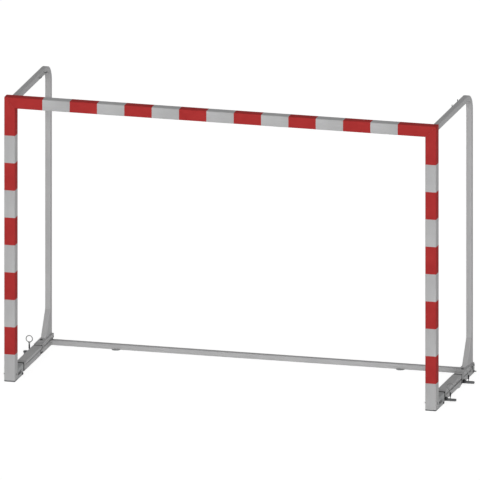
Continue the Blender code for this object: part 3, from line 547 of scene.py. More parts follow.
def lug_steel_painted_root_shade():
    """Forged lug: a dull grey coat, with painted shade that turns it black at the root where it meets the
    rail.
    """
    material, tree, shader, place = finish_of("lug_steel_painted_root_shade", "5A5B5D", 0.0, 0.5, 0.15)
    split = node(tree, "SeparateXYZ", {0: place.outputs["Object"]})
    outwards = node(tree, "Math", {0: split.outputs["X"]}, operation="ABSOLUTE")
    # Painted shade: black at the rail, fading to the coat's grey further out along x
    start = RAIL_HIGH.x + LUG_PAINTED_SHADE_FADE_FROM
    out_of_painted_shade = node(tree, "MapRange", {0: outwards, 1: start, 2: start + LUG_PAINTED_SHADE_FADE_OVER})
    patch = node(tree, "TexNoise", {"Vector": place.outputs["Object"], "Scale": per(6), "Detail": 4.0})
    shade = node(tree, "Math", {0: patch, 1: 0.3, 2: out_of_painted_shade}, operation="MULTIPLY_ADD")
    vary(tree, shader, shade, ("28292B", "737476"), (0.5, 0.42), (0.15, 1.15))
    relief(tree, shader, patch, 0.05)
    return material


SILVER = anodised_aluminium()
RED = red_powder_coat()
CAST = cast_aluminium()
GALVANISED = galvanised_steel()
ZINC = zinc_plated_steel()
PLASTIC = dark_polyamide()
BLACK = black_coated_steel()
# The lug finish paints shade, black at its root by the rail
PAINTED_ROOT_SHADE_STEEL = lug_steel_painted_root_shade()


# Pieces


def placed(name, data):
    """A new object in the scene."""
    obj = bpy.data.objects.new(name, data)
    bpy.context.scene.collection.objects.link(obj)
    return obj


def joined(shells, sign):
    """Points, faces, UV and paints of shells, each as one list, and mirrored where sign is -1."""
    faces, marks, paints = [], [], []
    count = 0
    for shell in shells:
        for face, mark in zip(shell["faces"], shell["marks"]):
            shifted = [count + index for index in face]
            faces.append(shifted if sign > 0 else shifted[::-1])
            marks.extend(mark if sign > 0 else mark[::-1])
        paints.extend(shell["paints"])
        count += len(shell["verts"])
    verts = np.concatenate([shell["verts"] for shell in shells]) * (sign, 1.0, 1.0)
    return verts.tolist(), faces, marks, paints


def smooth(mesh, degrees):
    """Smooth shading, with an edge kept sharp where its faces meet at a larger angle."""
    mesh.shade_smooth()
    mesh.set_sharp_from_angle(angle=math.radians(degrees))


def piece(name, shells, materials, body, nodes, sign=1.0, sharp=SMOOTH_BELOW):
    """One mesh from closed shells, which rides on a body and stands for CAD nodes."""
    verts, faces, marks, paints = joined(shells, sign)
    mesh = bpy.data.meshes.new(name)
    mesh.from_pydata(verts, [], faces)
    mesh.polygons.foreach_set("material_index", paints)
    layer = mesh.uv_layers.new(name="metres")
    layer.data.foreach_set("uv", np.array(marks, np.float32).ravel())
    for material in materials:
        mesh.materials.append(material)
    smooth(mesh, sharp)
    obj = placed(name, mesh)
    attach(obj, body)
    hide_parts(*nodes)
    return obj


def both_sides(name, shells, materials, node_name, sharp=SMOOTH_BELOW, cutters=()):
    """The piece on the right and its mirror image on the left, with the cutters' space taken out of both."""
    for side, sign in SIDES.items():
        obj = piece(f"{side}_{name}", shells, materials, "goal", [f"{side}_{node_name}"], sign, sharp)
        if cutters:
            cut_away(obj, cutters, sign)


def cut_away(obj, shells, sign):
    """Takes the shells' space out of a piece, and shades the result anew."""
    verts, faces, _, _ = joined(shells, sign)
    cutter = placed(obj.name + "_cutter", bpy.data.meshes.new(obj.name + "_cutter"))
    cutter.data.from_pydata(verts, [], faces)
    cut = obj.modifiers.new("cut", "BOOLEAN")
    cut.operation = "DIFFERENCE"
    cut.object = cutter
    bpy.context.view_layer.update()
    mesh = bpy.data.meshes.new_from_object(obj.evaluated_get(bpy.context.evaluated_depsgraph_get()))
    obj.modifiers.clear()
    obj.data = mesh
    bpy.data.objects.remove(cutter, do_unlink=True)
    smooth(mesh, SMOOTH_BELOW)


def painted(shell, index):
    """The shell with another of its piece's materials."""
    return {**shell, "paints": [index] * len(shell["faces"])}


def profile_outline():
    """Section of the goal profile about its own middle, with the net groove at +y."""
    half = PROFILE / 2
    mouth = GROOVE_MOUTH / 2
    slot = GROOVE_WIDTH / 2
    lip = half - GROOVE_LIP
    floor = half - GROOVE_DEPTH
    corners = [(-half, -half), (half, -half), (half, half), (mouth, half), (mouth, lip), (slot, lip)]
    corners += [(slot, floor), (-slot, floor), (-slot, lip), (-mouth, lip), (-mouth, half), (-half, half)]
    radii = np.full(len(corners), GROOVE_CORNER)
    radii[[0, 1, 2, -1]] = PROFILE_CORNER
    return rounded(corners, radii, steps=8)


def banded_beam(outline, plane, cuts, first_red, low_end, high_end):
    """Profile with silver and red bands by turns, a silver one lower by the coat. low_end and high_end say
    where each line of the profile stops, with small quarter rounds there, because both ends are butted."""
    is_red = (np.arange(len(cuts) + 1) + first_red) % 2 == 1
    coat = np.where(is_red, 0.0, COAT)
    drawn, rise = rim_rows(JOINED_RIM)
    edges = (np.array(cuts)[:, None] + np.array([-BAND_STEP, BAND_STEP])).ravel()
    insets = np.r_[drawn + coat[0], np.repeat(coat, 2)[1:-1], drawn[::-1] + coat[-1]]
    rows = np.broadcast_to(edges[:, None], (len(edges), len(outline)))
    levels = np.r_[low_end + rise[:, None], rows, high_end - rise[::-1, None]]
    loops = outline - insets[:, None, None] * outward(outline)
    steps = np.full(len(edges) - 1, 1)
    steps[1::2] = is_red[1:-1]
    paint = np.r_[np.full(len(rise), is_red[0]), steps, np.full(len(rise), is_red[-1])]
    return lofted(loops, levels, plane, paint)


def make_posts():
    """Posts: the profile from its foot to a mitre, where its height rises as x does."""
    outline = profile_outline() + np.array((POST_LOW + POST_HIGH).xy) / 2
    mitre = BAR_LOW.z + (outline[:, 0] - POST_LOW.x) - SEAM
    foot = np.full(len(outline), POST_LOW.z)
    top_cut = BAR_HIGH.z - CORNER_BAND
    cuts = np.arange(BAND, top_cut + BAND / 2, BAND)
    beam = banded_beam(outline, "XY", cuts, 0, foot, mitre)
    both_sides("banded_post", [beam], [SILVER, RED], "post")


def make_crossbar():
    """Crossbar: the profile with its groove to the back, between mitres that meet the posts' ones."""
    outline = profile_outline()[::-1, ::-1] + np.array((BAR_LOW + BAR_HIGH).yz) / 2
    mitre = POST_LOW.x + (outline[:, 1] - BAR_LOW.z) - SEAM
    reach = POST_HIGH.x - CORNER_BAND
    cuts = np.linspace(-reach, reach, round(2 * reach / BAND) + 1)
    beam = banded_beam(outline, "YZ", cuts, 1, -mitre, mitre)
    piece("banded_crossbar", [beam], [SILVER, RED], "goal", ["crossbar"])


def make_post_caps():
    """Moulded foot: a plate with soft rims under the post."""
    low, high, top = CAP_LOW, CAP_HIGH, POST_LOW.z - GAP
    plate = block(low.xy, high.xy, PROFILE_CORNER, 8, "XY", low.z, top, MOULDED_RIM, MOULDED_TURNS)
    both_sides("moulded_foot", [plate], [PLASTIC], "post_cap")


def make_foot_brackets():
    """Folded channel: its section is one bent strip, with a plate across the front and slots in both cheeks.
    It stops where the joint's collar starts."""
    x_low, x_high, top = BRACKET_LOW.x, BRACKET_HIGH.x, BRACKET_HIGH.z
    sheet = BRACKET_SHEET
    corners = [(x_low, 0), (x_low + sheet, 0), (x_low + sheet, top - sheet), (x_high - sheet, top - sheet)]
    corners += [(x_high - sheet, 0), (x_high, 0), (x_high, top), (x_low, top)]
    bend, edge = BRACKET_BEND, BRACKET_EDGE
    radii = [edge, edge, bend - sheet, bend - sheet, edge, edge, bend, bend]
    strip = rounded(corners, radii, 7)
    channel = slab(strip, "XZ", BRACKET_LOW.y, BRACKET_HIGH.y - BRACKET_SHOWN_END, edge)
    plate_low, plate_high = (x_low + sheet / 2, 0), (x_high - sheet / 2, top - sheet / 2)
    plate = block(plate_low, plate_high, edge, 6, "XZ", BRACKET_LOW.y, BRACKET_LOW.y + sheet, edge)
    slot_y = BRACKET_LOW.y + SLOT_START
    slot_low = (slot_y, SLOT_Z - SLOT_HEIGHT / 2)
    slot_high = (slot_y + SLOT_LENGTH, SLOT_Z + SLOT_HEIGHT / 2)
    slots = block(slot_low, slot_high, SLOT_CORNER, 10, "YZ", x_low - sheet, x_high + sheet)
    hole = turned([PIN_HOLE, PIN_HOLE], [-PROFILE, PROFILE], (PIN_LOW + PIN_HIGH) / 2, (1, 0, 0))
    both_sides(
        "folded_bracket", [channel, plate], [GALVANISED], "foot_bracket",
        cutters=[slots, hole],
    )


def make_pins():
    """Button heads on both ends of a plain shaft."""
    middle = (PIN_LOW + PIN_HIGH) / 2
    face = PROFILE / 2 + GAP
    radius = (PIN_HIGH.z - PIN_LOW.z) / 2
    shaft = PIN_HOLE - GAP
    shells = [turned([shaft, shaft], [-face - PIN_HEAD / 4, face + PIN_HEAD / 4], middle, (1, 0, 0))]
    for way in (-1, 1):
        shells.append(button_head(middle + Vector((way * face, 0, 0)), (way, 0, 0), radius, PIN_HEAD))
    both_sides("headed_pin", shells, [BLACK], "cross_pin")


def make_post_bolts():
    """Bolt across the post's foot, the same way on both posts: a button head on its right, and a nut with
    the thread's free end on its left."""
    centre = (FOOT_BOLT_LOW + FOOT_BOLT_HIGH) / 2
    face = PROFILE / 2 + GAP
    height = (FOOT_BOLT_HIGH.x - FOOT_BOLT_LOW.x) / 2 - face
    radius = (FOOT_BOLT_HIGH.z - FOOT_BOLT_LOW.z) / 2
    for side, sign in SIDES.items():
        middle = Vector((sign * centre.x, centre.y, centre.z))
        nut = middle - Vector((face, 0, 0))
        shells = [
            turned([FOOT_BOLT, FOOT_BOLT], [-face - height / 4, face + height / 4], middle, (1, 0, 0)),
            button_head(middle + Vector((face, 0, 0)), (1, 0, 0), radius, height),
            hexagon_head(nut, (-1, 0, 0), radius, height),
            thread(nut, (-1, 0, 0), FOOT_BOLT, 0.0, FOOT_BOLT_END),
        ]
        piece(f"{side}_button_bolt", shells, [ZINC], "goal", [f"{side}_post_bolt"])


def rail_corners(lip, height, low=0.0, inset=0.0):
    """Corners of a plain rail section, whose top part reaches inwards by the lip."""
    outer = RAIL_HIGH.x - inset
    inner = RAIL_HIGH.x - LOWER_WIDTH + inset
    step = GROOVE_Z + GROOVE_HEIGHT
    corners = [(inner, low + inset), (outer, low + inset), (outer, height - inset)]
    return corners + [(inner - lip, height - inset), (inner - lip, step + inset), (inner, step + inset)]


def rail_lip(low):
    """How far the top part of a rail reaches inwards past its lower part."""
    return RAIL_HIGH.x - LOWER_WIDTH - low.x


def make_rails():
    """Extruded rails: the plain section with a groove along both sides, and a narrow one along the lip."""
    groove = SIDE_GROOVE_DEPTH
    line_low, line_high = LIP_LINE_Z, LIP_LINE_Z + LIP_LINE_HEIGHT
    for name, node_name, low, high in (
        ("extruded_rail", "ground_rail", RAIL_LOW, RAIL_HIGH),
        ("extruded_rear_rail", "rear_rail", REAR_RAIL_LOW, REAR_RAIL_HIGH),
    ):
        outer, inner = high.x, high.x - LOWER_WIDTH
        bottom, top = GROOVE_Z, GROOVE_Z + GROOVE_HEIGHT
        corners = [(inner, 0), (outer, 0), (outer, bottom), (outer - groove, bottom), (outer - groove, top)]
        corners += [(outer, top), (outer, high.z), (low.x, high.z), (low.x, line_high)]
        line_x = low.x + LIP_LINE_DEPTH
        corners += [(line_x, line_high), (line_x, line_low), (low.x, line_low), (low.x, top)]
        corners += [(inner + groove, top), (inner + groove, bottom), (inner, bottom)]
        radii = np.full(len(corners), RAIL_CORNER / 3)
        radii[[0, 1, 6, 7]] = RAIL_CORNER
        section = rounded(corners, radii, 5)
        both_sides(name, [slab(section, "XZ", low.y, high.y)], [SILVER], node_name)


def make_noses():
    """Cast noses: the rail's section, its underside rising forwards as z = R - sqrt(R^2 - (R - y)^2) and
    stepped over the lug."""
    for place, low in (("front", RAIL_LOW), ("rear", REAR_RAIL_LOW)):
        start = low.y - GAP - NOSE_LENGTH
        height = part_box(f"right_{place}_nose")[1].z
        lug_low, lug_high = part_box(f"right_anchor_lug_{place}")
        drawn, rise = rim_rows(CAST_CORNER, 5)
        lug_back = lug_high.y + GAP - start
        round_rows = np.linspace(CAST_CORNER * 1.4, NOSE_RADIUS, 12)
        level = np.r_[rise, round_rows, lug_back, lug_back, NOSE_LENGTH]
        inset = np.r_[drawn, np.zeros(len(level) - len(drawn))]
        under = NOSE_RADIUS - np.sqrt(NOSE_RADIUS**2 - np.clip(NOSE_RADIUS - level, 0, None) ** 2)
        under = np.maximum(under, lug_low.z + LUG_THICKNESS + GAP)
        under[-2:] = 0.0
        lip = rail_lip(low)
        loops = np.stack([rounded(rail_corners(lip, height, z), CAST_CORNER, 5) for z in under])
        loops -= inset[:, None, None] * np.stack([outward(loop) for loop in loops])
        nose = lofted(loops, (start + level)[:, None], "XZ")
        both_sides(f"cast_{place}_nose", [nose], [CAST], f"{place}_nose", 40)


def make_joints():
    """Black spacers in the ground frame's gaps. The front one has a collar behind the bracket, nearly as
    wide and high as the bracket, and sends a bare tongue into it."""
    lip = rail_lip(RAIL_LOW)
    section = rounded(rail_corners(lip, RAIL_HIGH.z, inset=JOINT_INSET), RAIL_CORNER, 4)
    front_end = FRONT_JOINT_HIGH.y
    spacer = slab(section, "XZ", front_end - JOINT_GAP + 2 * GAP, front_end)
    collar_start = BRACKET_HIGH.y - BRACKET_SHOWN_END + GAP
    collar_low = (BRACKET_LOW.x + JOINT_INSET, COLLAR_BOTTOM)
    collar_high = (BRACKET_HIGH.x - JOINT_INSET, BRACKET_HIGH.z - JOINT_INSET)
    collar_end = collar_start + COLLAR_LENGTH
    collar = block(collar_low, collar_high, RAIL_CORNER, 4, "XZ", collar_start, collar_end)
    tongue_low = (RAIL_HIGH.x - LOWER_WIDTH, FRONT_JOINT_LOW.z)
    tongue_high = (BRACKET_HIGH.x - BRACKET_SHEET - GAP, RAIL_HIGH.z - 2 * JOINT_INSET)
    tongue_end = front_end - JOINT_GAP / 2
    tongue = block(tongue_low, tongue_high, RAIL_CORNER / 2, 4, "XZ", FRONT_JOINT_LOW.y, tongue_end)
    shells = [spacer, collar, painted(tongue, 1)]
    both_sides("front_spacer", shells, [BLACK, CAST], "front_joint")
    rear_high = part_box("right_rear_joint")[1]
    rear = slab(section, "XZ", RAIL_HIGH.y + GAP, rear_high.y)
    both_sides("rear_spacer", [rear], [BLACK], "rear_joint")


def make_end_caps():
    """Moulded caps with the rail's section, behind the rear rails."""
    outline = rounded(rail_corners(rail_lip(REAR_RAIL_LOW), END_CAP_HIGH.z), RAIL_CORNER, 5)
    cap = slab(outline, "XZ", REAR_RAIL_HIGH.y + GAP, END_CAP_HIGH.y, MOULDED_RIM, MOULDED_TURNS)
    both_sides("moulded_end_cap", [cap], [PLASTIC], "rail_end_cap")


def make_lugs():
    """Forged lugs: a rounded bar across the rail. Its top swells at the rail as a cosine squared, its end
    is half a superellipse in plan, and a countersunk hole takes the ring bolt."""
    for place in ("front", "rear"):
        low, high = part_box(f"right_anchor_lug_{place}")
        face = RAIL_HIGH.x + GAP
        end_start = high.x - LUG_END_ROUND
        swell = np.linspace(0, 1, 14)
        end = np.sin(np.linspace(0, np.pi / 2, 12))
        swell_x = face + swell * LUG_ROOT_LENGTH
        end_x = end_start + end * LUG_END_ROUND * LUG_END_SHARE
        x = np.r_[low.x, low.x + LUG_EDGE, face, swell_x, end_x]
        root, tip = slice(3, 3 + len(swell)), slice(-len(end), None)
        level = low.z + LUG_THICKNESS
        top = np.full(len(x), level)
        half = np.full(len(x), (high.y - low.y) / 2)
        top[0] -= LUG_EDGE / 2
        half[0] -= LUG_EDGE / 2
        top[root] += (high.z - level) * np.cos(swell * np.pi / 2) ** 2
        end = end * LUG_END_SHARE
        half[tip] *= (1 - end**LUG_END_POWER) ** (1 / LUG_END_POWER)
        top[tip] -= LUG_EDGE * (1 - (1 - end**8) ** 0.5)
        middle = (low.y + high.y) / 2
        sections = [rectangle((middle - w, low.z), (middle + w, t)) for w, t in zip(half, top)]
        loops = np.stack([rounded(section, LUG_EDGE, 4) for section in sections])
        bar = lofted(loops, x[:, None], "YZ")
        ring_low, ring_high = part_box(f"right_ring_bolt_{place}")
        bolt = ((ring_low.x + ring_high.x) / 2, middle, 0)
        radii = [LUG_HOLE, LUG_HOLE, LUG_HOLE + 2 * LUG_HOLE_SINK]
        heights = [-LUG_THICKNESS, level - LUG_HOLE_SINK, level + LUG_HOLE_SINK]
        # The lug's finish paints shade at its root, black by the rail
        both_sides(
            f"forged_lug_{place}", [bar], [PAINTED_ROOT_SHADE_STEEL], f"anchor_lug_{place}", 45,
            cutters=[turned(radii, heights, bolt, (0, 0, 1))],
        )


def make_ring_bolts():
    """Ring bolts: a torus, a forged neck whose oval section widens upwards as a cosine, and a threaded
    shank. A turned sleeve with chamfered ends lies under the neck."""
    for place in ("front", "rear"):
        low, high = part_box(f"right_ring_bolt_{place}")
        sleeve_low, sleeve_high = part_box(f"right_bolt_sleeve_{place}")
        centre = np.array([*(low + high).xy / 2, 0.0])
        ring_radius = (high.x - low.x) / 2 - RING_WIRE
        ring_z = high.z - RING_WIRE - ring_radius
        turn = full_turn(64)[:, None]
        wire = full_turn(20)
        reach = ring_radius + RING_WIRE * np.cos(wire)
        thick = RING_WIRE * np.sin(wire) + 0 * turn
        torus = np.stack([reach * np.cos(turn), thick, reach * np.sin(turn)], -1)
        ring = skin(torus + centre + (0, 0, ring_z), ends=False)
        neck_top = ring_z - math.sqrt(ring_radius**2 - NECK_WIDTH**2)
        share = np.linspace(0, 1, 16)[:, None]
        level = sleeve_high.z + GAP + share * (neck_top - sleeve_high.z - GAP)
        flare = (1 - np.cos(share * np.pi)) / 2
        wide = NECK_FOOT + (NECK_WIDTH - NECK_FOOT) * flare
        deep = NECK_FOOT + (NECK_DEPTH - NECK_FOOT) * flare
        angle = full_turn(32)
        oval = np.stack([wide * np.cos(angle), deep * np.sin(angle), level + 0 * angle], -1)
        neck = skin(oval + centre)
        shank = thread(centre, (0, 0, 1), BOLT_RADIUS, low.z, sleeve_high.z + SHANK_IN_NECK)
        height = sleeve_high.z - sleeve_low.z
        bore = BOLT_RADIUS + GAP
        rim = SLEEVE_RADIUS - SLEEVE_CHAMFER
        radii = [bore, rim, SLEEVE_RADIUS, SLEEVE_RADIUS, rim, bore]
        heights = [0, 0, SLEEVE_CHAMFER, height - SLEEVE_CHAMFER, height, height]
        tube = turned(radii, heights, centre + (0, 0, sleeve_low.z), (0, 0, 1))
        for side, sign in SIDES.items():
            body = f"{side}_{place}_ring_bolt"
            for name, node_name, shells, finish, slot in (
                ("forged_ring", "ring_bolt", [ring, neck, shank], ZINC, "zinc_steel"),
                ("turned_sleeve", "bolt_sleeve", [tube], BLACK, "black_steel"),
            ):
                nodes = [f"{side}_{node_name}_{place}"]
                piece(f"{side}_{name}_{place}", shells, [finish], body, nodes, sign)


def make_hoops():
    """Square tube bent once: its section is carried back along the top, round the bend's arc and down."""
    x = (HOOP_LOW.x + HOOP_HIGH.x) / 2
    half = (HOOP_HIGH.x - HOOP_LOW.x) / 2
    top = HOOP_HIGH.z - half
    back = HOOP_HIGH.y - half
    angle = np.linspace(0, np.pi / 2, BEND_STEPS)
    bend_y = back - HOOP_BEND + HOOP_BEND * np.sin(angle)
    bend_z = top - HOOP_BEND + HOOP_BEND * np.cos(angle)
    y = np.r_[HOOP_LOW.y, bend_y, back]
    z = np.r_[top, bend_z, HOOP_LOW.z]
    angle = np.r_[0.0, angle, np.pi / 2]
    path = np.stack([np.full(len(y), x), y, z], -1)
    up = np.stack([0 * angle, np.sin(angle), np.cos(angle)], -1)
    across = np.tile([1.0, 0.0, 0.0], (len(y), 1))
    section = rounded(rectangle((-half, -half), (half, half)), TUBE_CORNER, 6)
    tube = carried(section, path, across, up)
    both_sides("bent_hoop", [tube], [SILVER], "hoop")


def make_wedges():
    """Folded sheet foot: at each height its depth falls in proportion, and its front edges keep the fold's
    round. A button-headed screw holds down the flange in front of it."""
    fold = WEDGE_FOLD
    share = np.r_[0.0, 0.004, np.linspace(0.02, WEDGE_TOP_SHARE, 24)]
    z = WEDGE_LOW.z + share * (WEDGE_HIGH.z - WEDGE_LOW.z)
    front = WEDGE_HIGH.y - (1 - share) * (WEDGE_HIGH.y - WEDGE_LOW.y)
    drawn = np.r_[RIM, np.zeros(len(share) - 1)]
    radii = [fold, fold, WEDGE_BACK_CORNER, WEDGE_BACK_CORNER]
    low_x, high_x, back = WEDGE_LOW.x, WEDGE_HIGH.x, WEDGE_HIGH.y
    sections = [rectangle((low_x + d, f + d), (high_x - d, back)) for f, d in zip(front, drawn)]
    foot = lofted(np.stack([rounded(section, radii, 5) for section in sections]), z[:, None], "XY")
    top = WEDGE_LOW.z + WEDGE_SHEET
    tip_low, tip_high = (low_x + fold, WEDGE_LOW.y - WEDGE_FLANGE), (high_x - fold, WEDGE_LOW.y + fold)
    tip_radii = [2 * fold, 2 * fold, fold / 4, fold / 4]
    flange = block(tip_low, tip_high, tip_radii, 6, "XY", WEDGE_LOW.z, top)
    seat = ((low_x + high_x) / 2, WEDGE_LOW.y - WEDGE_SCREW, top)
    head = painted(button_head(seat, (0, 0, 1), WEDGE_HEAD, WEDGE_HEAD_HEIGHT), 1)
    both_sides("folded_wedge", [foot, flange, head], [SILVER, BLACK], "wedge_foot")


def make_rear_bar():
    """Rectangular tube, drawn straight across between the rear rails."""
    low, high = REAR_BAR_LOW, REAR_BAR_HIGH
    bar = block(low.yz, high.yz, TUBE_CORNER, 6, "YZ", low.x, high.x)
    piece("drawn_rear_bar", [bar], [SILVER], "goal", ["rear_bar"])


def make_floor_plates():
    """Half disc along the rear bar's front, with a countersunk hole for a floor screw."""
    middle = (FLOOR_PLATE_LOW.x + FLOOR_PLATE_HIGH.x) / 2
    radius = (FLOOR_PLATE_HIGH.x - FLOOR_PLATE_LOW.x) / 2
    top = FLOOR_PLATE_HIGH.z
    angle = np.linspace(np.pi, 2 * np.pi, 40)
    outline = np.stack([middle + radius * np.cos(angle), FLOOR_PLATE_HIGH.y + radius * np.sin(angle)], -1)
    plate = slab(outline, "XY", FLOOR_PLATE_LOW.z, top)
    centre = (middle, REAR_BAR_LOW.y - PLATE_HOLE_FROM_BAR, 0.0)
    radii = [PLATE_HOLE, PLATE_HOLE, PLATE_HOLE + 1.5 * PLATE_SINK]
    hole = turned(radii, [-top, top - PLATE_SINK, top + PLATE_SINK / 2], centre, (0, 0, 1))
    both_sides(
        "round_floor_plate", [plate], [GALVANISED], "floor_plate", cutters=[hole]
    )


def make_corner_plates():
    """Clamp plate with two hexagon bolts on washers, and the rear bar's bolt with nut and free thread."""
    out = (1, 0, 0)
    face = CORNER_LOW.x
    surface = face + CORNER_SHEET
    upper = (GROOVE_Z + GROOVE_HEIGHT + REAR_RAIL_HIGH.z) / 2
    lower = GROOVE_Z / 2
    margin = 2 * HEX_BOLT
    upright = HOOP_HIGH.y - (HOOP_HIGH.x - HOOP_LOW.x) / 2
    front, back = CORNER_LOW.y, CORNER_HIGH.y
    corners = [(front, upper - margin), (upright - margin, upper - margin)]
    corners += [(upright - margin, lower - margin), (back, lower - margin)]
    corners += [(back, upper + margin), (front, upper + margin)]
    shells = [slab(rounded(corners, CLAMP_CORNER, 5), "YZ", face, surface)]
    edge = WASHER - WASHER_EDGE
    levels = [-WASHER_SHEET / 2, 0.0, WASHER_SHEET - WASHER_EDGE, WASHER_SHEET]
    for y in (front + CLAMP_BOLT, upright):
        shells.append(turned([edge, WASHER, WASHER, edge], levels, (surface, y, upper), out))
        head = hexagon_head((surface + WASHER_SHEET, y, upper), out, HEX_BOLT, HEX_HEAD)
        shells.append(painted(head, 1))
    shells.append(painted(hexagon_head((surface, upright, lower), out, HEX_BOLT, HEX_NUT), 1))
    shells.append(thread((surface, upright, lower), out, BAR_BOLT, 0.0, CORNER_HIGH.x - surface))
    both_sides("clamp_plate", shells, [ZINC, BLACK], "corner_plate")


def make_side_hooks():
    """Wire hook: straight out of the rail, then half a circle down and back towards it."""
    y = (SIDE_HOOK_LOW.y + SIDE_HOOK_HIGH.y) / 2
    high = SIDE_HOOK_HIGH.z - SIDE_WIRE
    low = SIDE_HOOK_LOW.z + SIDE_WIRE
    bend = (high - low) / 2
    centre_x = SIDE_HOOK_HIGH.x - SIDE_WIRE - bend
    angle = np.linspace(np.pi / 2, -np.pi / 2, 33)
    arc = np.stack([centre_x + bend * np.cos(angle), 0 * angle + y, low + bend + bend * np.sin(angle)], -1)
    start = np.linspace((SIDE_HOOK_LOW.x, y, high), arc[0], 5)[:-1]
    hook = round_wire(np.r_[start, arc], SIDE_WIRE)
    both_sides("wire_side_hook", [hook], [ZINC], "side_hook")


def hook_shell(root, out, width, reach, lift):
    """Moulded hook: a rounded bar carried out from its root and round a quarter bend upwards."""
    out = np.array(out, float)
    up = np.array([0.0, 0.0, 1.0])
    angle = np.linspace(0, np.pi / 2, 9)
    run = reach - HOOK_WIRE / 2 - HOOK_BEND
    flat = np.r_[0.0, run + HOOK_BEND * np.sin(angle), run + HOOK_BEND]
    rise = np.r_[0.0, HOOK_BEND * (1 - np.cos(angle)), lift]
    turn = np.r_[0.0, angle, np.pi / 2]
    path = np.array(root, float) + flat[:, None] * out + rise[:, None] * up
    normal = np.cos(turn)[:, None] * up - np.sin(turn)[:, None] * out
    across = np.tile(np.cross(out, up), (len(path), 1))
    half = HOOK_WIRE / 2
    section = rounded(rectangle((-width, -half), (width, half)), HOOK_CORNER, 4)
    taper = np.ones(len(path))
    taper[-1] = HOOK_TIP_SHARE
    return carried(section[None] * taper[:, None, None], path, across, normal)


def strip_outline():
    """T section of a hook strip about the middle of the groove's mouth."""
    neck = GROOVE_MOUTH / 2 - GAP
    foot = GROOVE_WIDTH / 2 - GAP
    front = -GROOVE_DEPTH + GAP
    step = -GROOVE_LIP - GAP
    corners = [(-foot, front), (foot, front), (foot, step), (neck, step), (neck, HOOK_SEAT)]
    return rounded(corners + [(-neck, HOOK_SEAT), (-neck, step), (-foot, step)], GROOVE_CORNER, 3)


def hooked_strip(outline, plane, start, end, roots, lift):
    """Strip in a groove with a hook at each root, as high as the lift."""
    reach = POST_HOOKS_HIGH.y - POST_HIGH.y + HOOK_SEAT
    hooks = [hook_shell(root, (0, 1, 0), HOOK_HALF_WIDTH, reach, lift) for root in roots]
    return [slab(outline, plane, start, end)] + hooks


def make_hook_strips():
    """Strips in the grooves of posts and crossbar, each with a hook at every HOOK_PITCH."""
    strip = strip_outline()
    x = (POST_HOOKS_LOW.x + POST_HOOKS_HIGH.x) / 2
    back = POST_HIGH.y
    root_y = back - HOOK_SEAT
    low_z, high_z = POST_HOOKS_LOW.z, POST_HOOKS_HIGH.z
    count = int((high_z - low_z - HOOK_PITCH / 2) / HOOK_PITCH)
    roots = [(x, root_y, HOOK_PITCH * (index + 1) - HOOK_WIRE / 2) for index in range(count)]
    shells = hooked_strip(strip + (x, back), "XY", low_z, high_z, roots, POST_HOOK_LIFT)
    both_sides("post_hook_strip", shells, [PLASTIC], "post_hooks")
    middle = (BAR_LOW.z + BAR_HIGH.z) / 2
    low_x, high_x = BAR_HOOKS_LOW.x, BAR_HOOKS_HIGH.x
    half_count = int((high_x - HOOK_WIRE) / HOOK_PITCH)
    roots = [(HOOK_PITCH * index, root_y, middle) for index in range(-half_count, half_count + 1)]
    outline = strip[::-1, ::-1] + (back, middle)
    shells = hooked_strip(outline, "YZ", low_x, high_x, roots, BAR_HOOKS_HIGH.z - middle)
    piece("crossbar_hook_strip", shells, [PLASTIC], "goal", ["crossbar_hooks"])


def make_hoop_hooks():
    """Two hooks on a short strip inside each hoop's top tube."""
    low, high = HOOP_HOOKS_LOW, HOOP_HOOKS_HIGH
    middle = low.z + HOOK_WIRE
    strip_low, strip_high = (low.y, middle - HOOK_WIRE), (high.y, middle + HOOK_WIRE)
    face = high.x - HOOP_STRIP
    shells = [block(strip_low, strip_high, HOOP_STRIP_CORNER, 4, "YZ", face, high.x)]
    for y in (low.y + HOOK_WIRE, high.y - HOOK_WIRE):
        root = (high.x - HOOK_SEAT, y, middle - HOOK_WIRE / 2)
        reach = high.x - low.x - HOOK_SEAT
        hook = hook_shell(root, (-1, 0, 0), HOOP_HOOK_HALF_WIDTH, reach, high.z - root[2])
        shells.append(painted(hook, 1))
    both_sides("hoop_hook_strip", shells, [SILVER, PLASTIC], "hoop_hooks")


def finish_inner_nodes():
    """Castings and plugs inside the profiles keep their CAD shape."""
    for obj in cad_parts.values():
        if not obj.hide_render:
            obj.data.materials.clear()
            obj.data.materials.append(CAST)


make_posts()
make_crossbar()
make_post_caps()
make_foot_brackets()
make_pins()
make_post_bolts()
make_rails()
make_noses()
make_joints()
make_end_caps()
make_lugs()
make_ring_bolts()
make_hoops()
make_wedges()
make_rear_bar()
make_floor_plates()
make_corner_plates()
make_side_hooks()
make_hook_strips()
make_hoop_hooks()
finish_inner_nodes()


# Stage


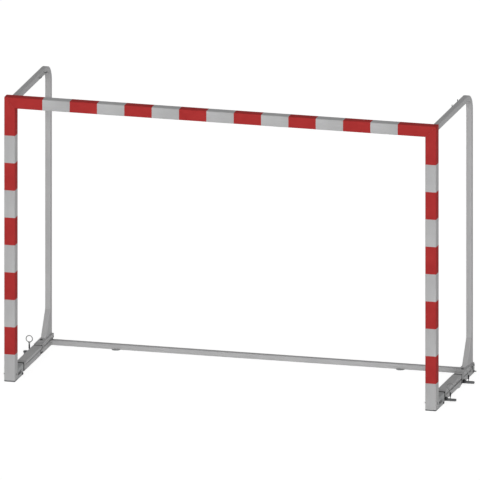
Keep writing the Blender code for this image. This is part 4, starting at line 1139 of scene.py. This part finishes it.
def make_floor():
    """Pale matt floor. The camera, gloss and glass see it nearly white, with the object's soft shadow, and
    matt surfaces get the light of a plain grey one."""
    mesh = bpy.data.meshes.new("floor")
    corners = rectangle((-FLOOR_REACH, -FLOOR_REACH), (FLOOR_REACH, FLOOR_REACH))
    mesh.from_pydata([(*corner, 0.0) for corner in corners], [], [(0, 1, 2, 3)])
    floor = placed("floor", mesh)
    floor.location.z = cad_low.z - FLOOR_DROP
    material = bpy.data.materials.new("pale_floor")
    material.use_nodes = True
    tree = material.node_tree
    tree.nodes.clear()
    rays = node(tree, "LightPath")
    seen = rays.outputs["Is Camera Ray"]
    for name in ("Is Glossy Ray", "Is Transmission Ray"):
        seen = node(tree, "Math", {0: seen, 1: rays.outputs[name]}, operation="MAXIMUM")
    matt = node(tree, "BsdfDiffuse", {"Color": linear("E6E6E6")})
    shown = node(tree, "BsdfDiffuse", {"Color": linear("A0A0A0")})
    glow = node(tree, "Emission", {"Color": (1, 1, 1, 1), "Strength": FLOOR_GLOW})
    pale = node(tree, "AddShader", {0: shown, 1: glow})
    mixed = node(tree, "MixShader", {0: seen, 1: matt, 2: pale})
    node(tree, "OutputMaterial", {"Surface": mixed})
    mesh.materials.append(material)


def make_world():
    """Soft, even light from all round, a little dimmer from above. The floor fills the whole background."""
    world = bpy.data.worlds.new("studio")
    bpy.context.scene.world = world
    world.use_nodes = True
    tree = world.node_tree
    tree.nodes.clear()
    place = node(tree, "TexCoord")
    split = node(tree, "SeparateXYZ", {0: place.outputs["Generated"]})
    levels = {0: split.outputs["Z"], 1: 0.0, 2: 1.0, 3: LIGHT_AT_HORIZON, 4: LIGHT_ABOVE}
    height = node(tree, "MapRange", levels)
    soft = node(tree, "Background", {"Color": (1, 1, 1, 1), "Strength": height})
    node(tree, "OutputWorld", {"Surface": soft})


def make_lamp():
    """Large distant lamp that shines the way LAMP_WAY points."""
    lamp = bpy.data.lights.new("front_lamp", "SUN")
    lamp.energy = LAMP_STRENGTH
    lamp.angle = math.radians(LAMP_SOFTNESS)
    placed("front_lamp", lamp).rotation_euler = Vector(LAMP_WAY).to_track_quat("-Z", "Y").to_euler()


def make_camera():
    """Orthographic camera. The goal line's middle, on the floor at the posts' front, is at a known pixel."""
    right = Vector((math.cos(AZIMUTH), math.sin(AZIMUTH), 0))
    level = math.cos(ELEVATION)
    back = Vector((math.sin(AZIMUTH) * level, -math.cos(AZIMUTH) * level, math.sin(ELEVATION)))
    up = back.cross(right)
    across = (IMAGE / 2 - GOAL_LINE_PIXEL[0]) / PIXELS_PER_METRE
    lift = (GOAL_LINE_PIXEL[1] - IMAGE / 2) / PIXELS_PER_METRE
    target = Vector((0, POST_LOW.y, 0)) + across * right + lift * up
    data = bpy.data.cameras.new("photo_view")
    data.type = "ORTHO"
    data.ortho_scale = IMAGE / PIXELS_PER_METRE
    data.clip_end = 100
    camera = placed("photo_view", data)
    turn = Matrix((right, up, back)).transposed().to_4x4()
    camera.matrix_world = Matrix.Translation(target + CAMERA_DISTANCE * back) @ turn
    bpy.context.scene.camera = camera


make_floor()
make_world()
make_lamp()
make_camera()
bpy.context.scene.view_settings.view_transform = "Standard"
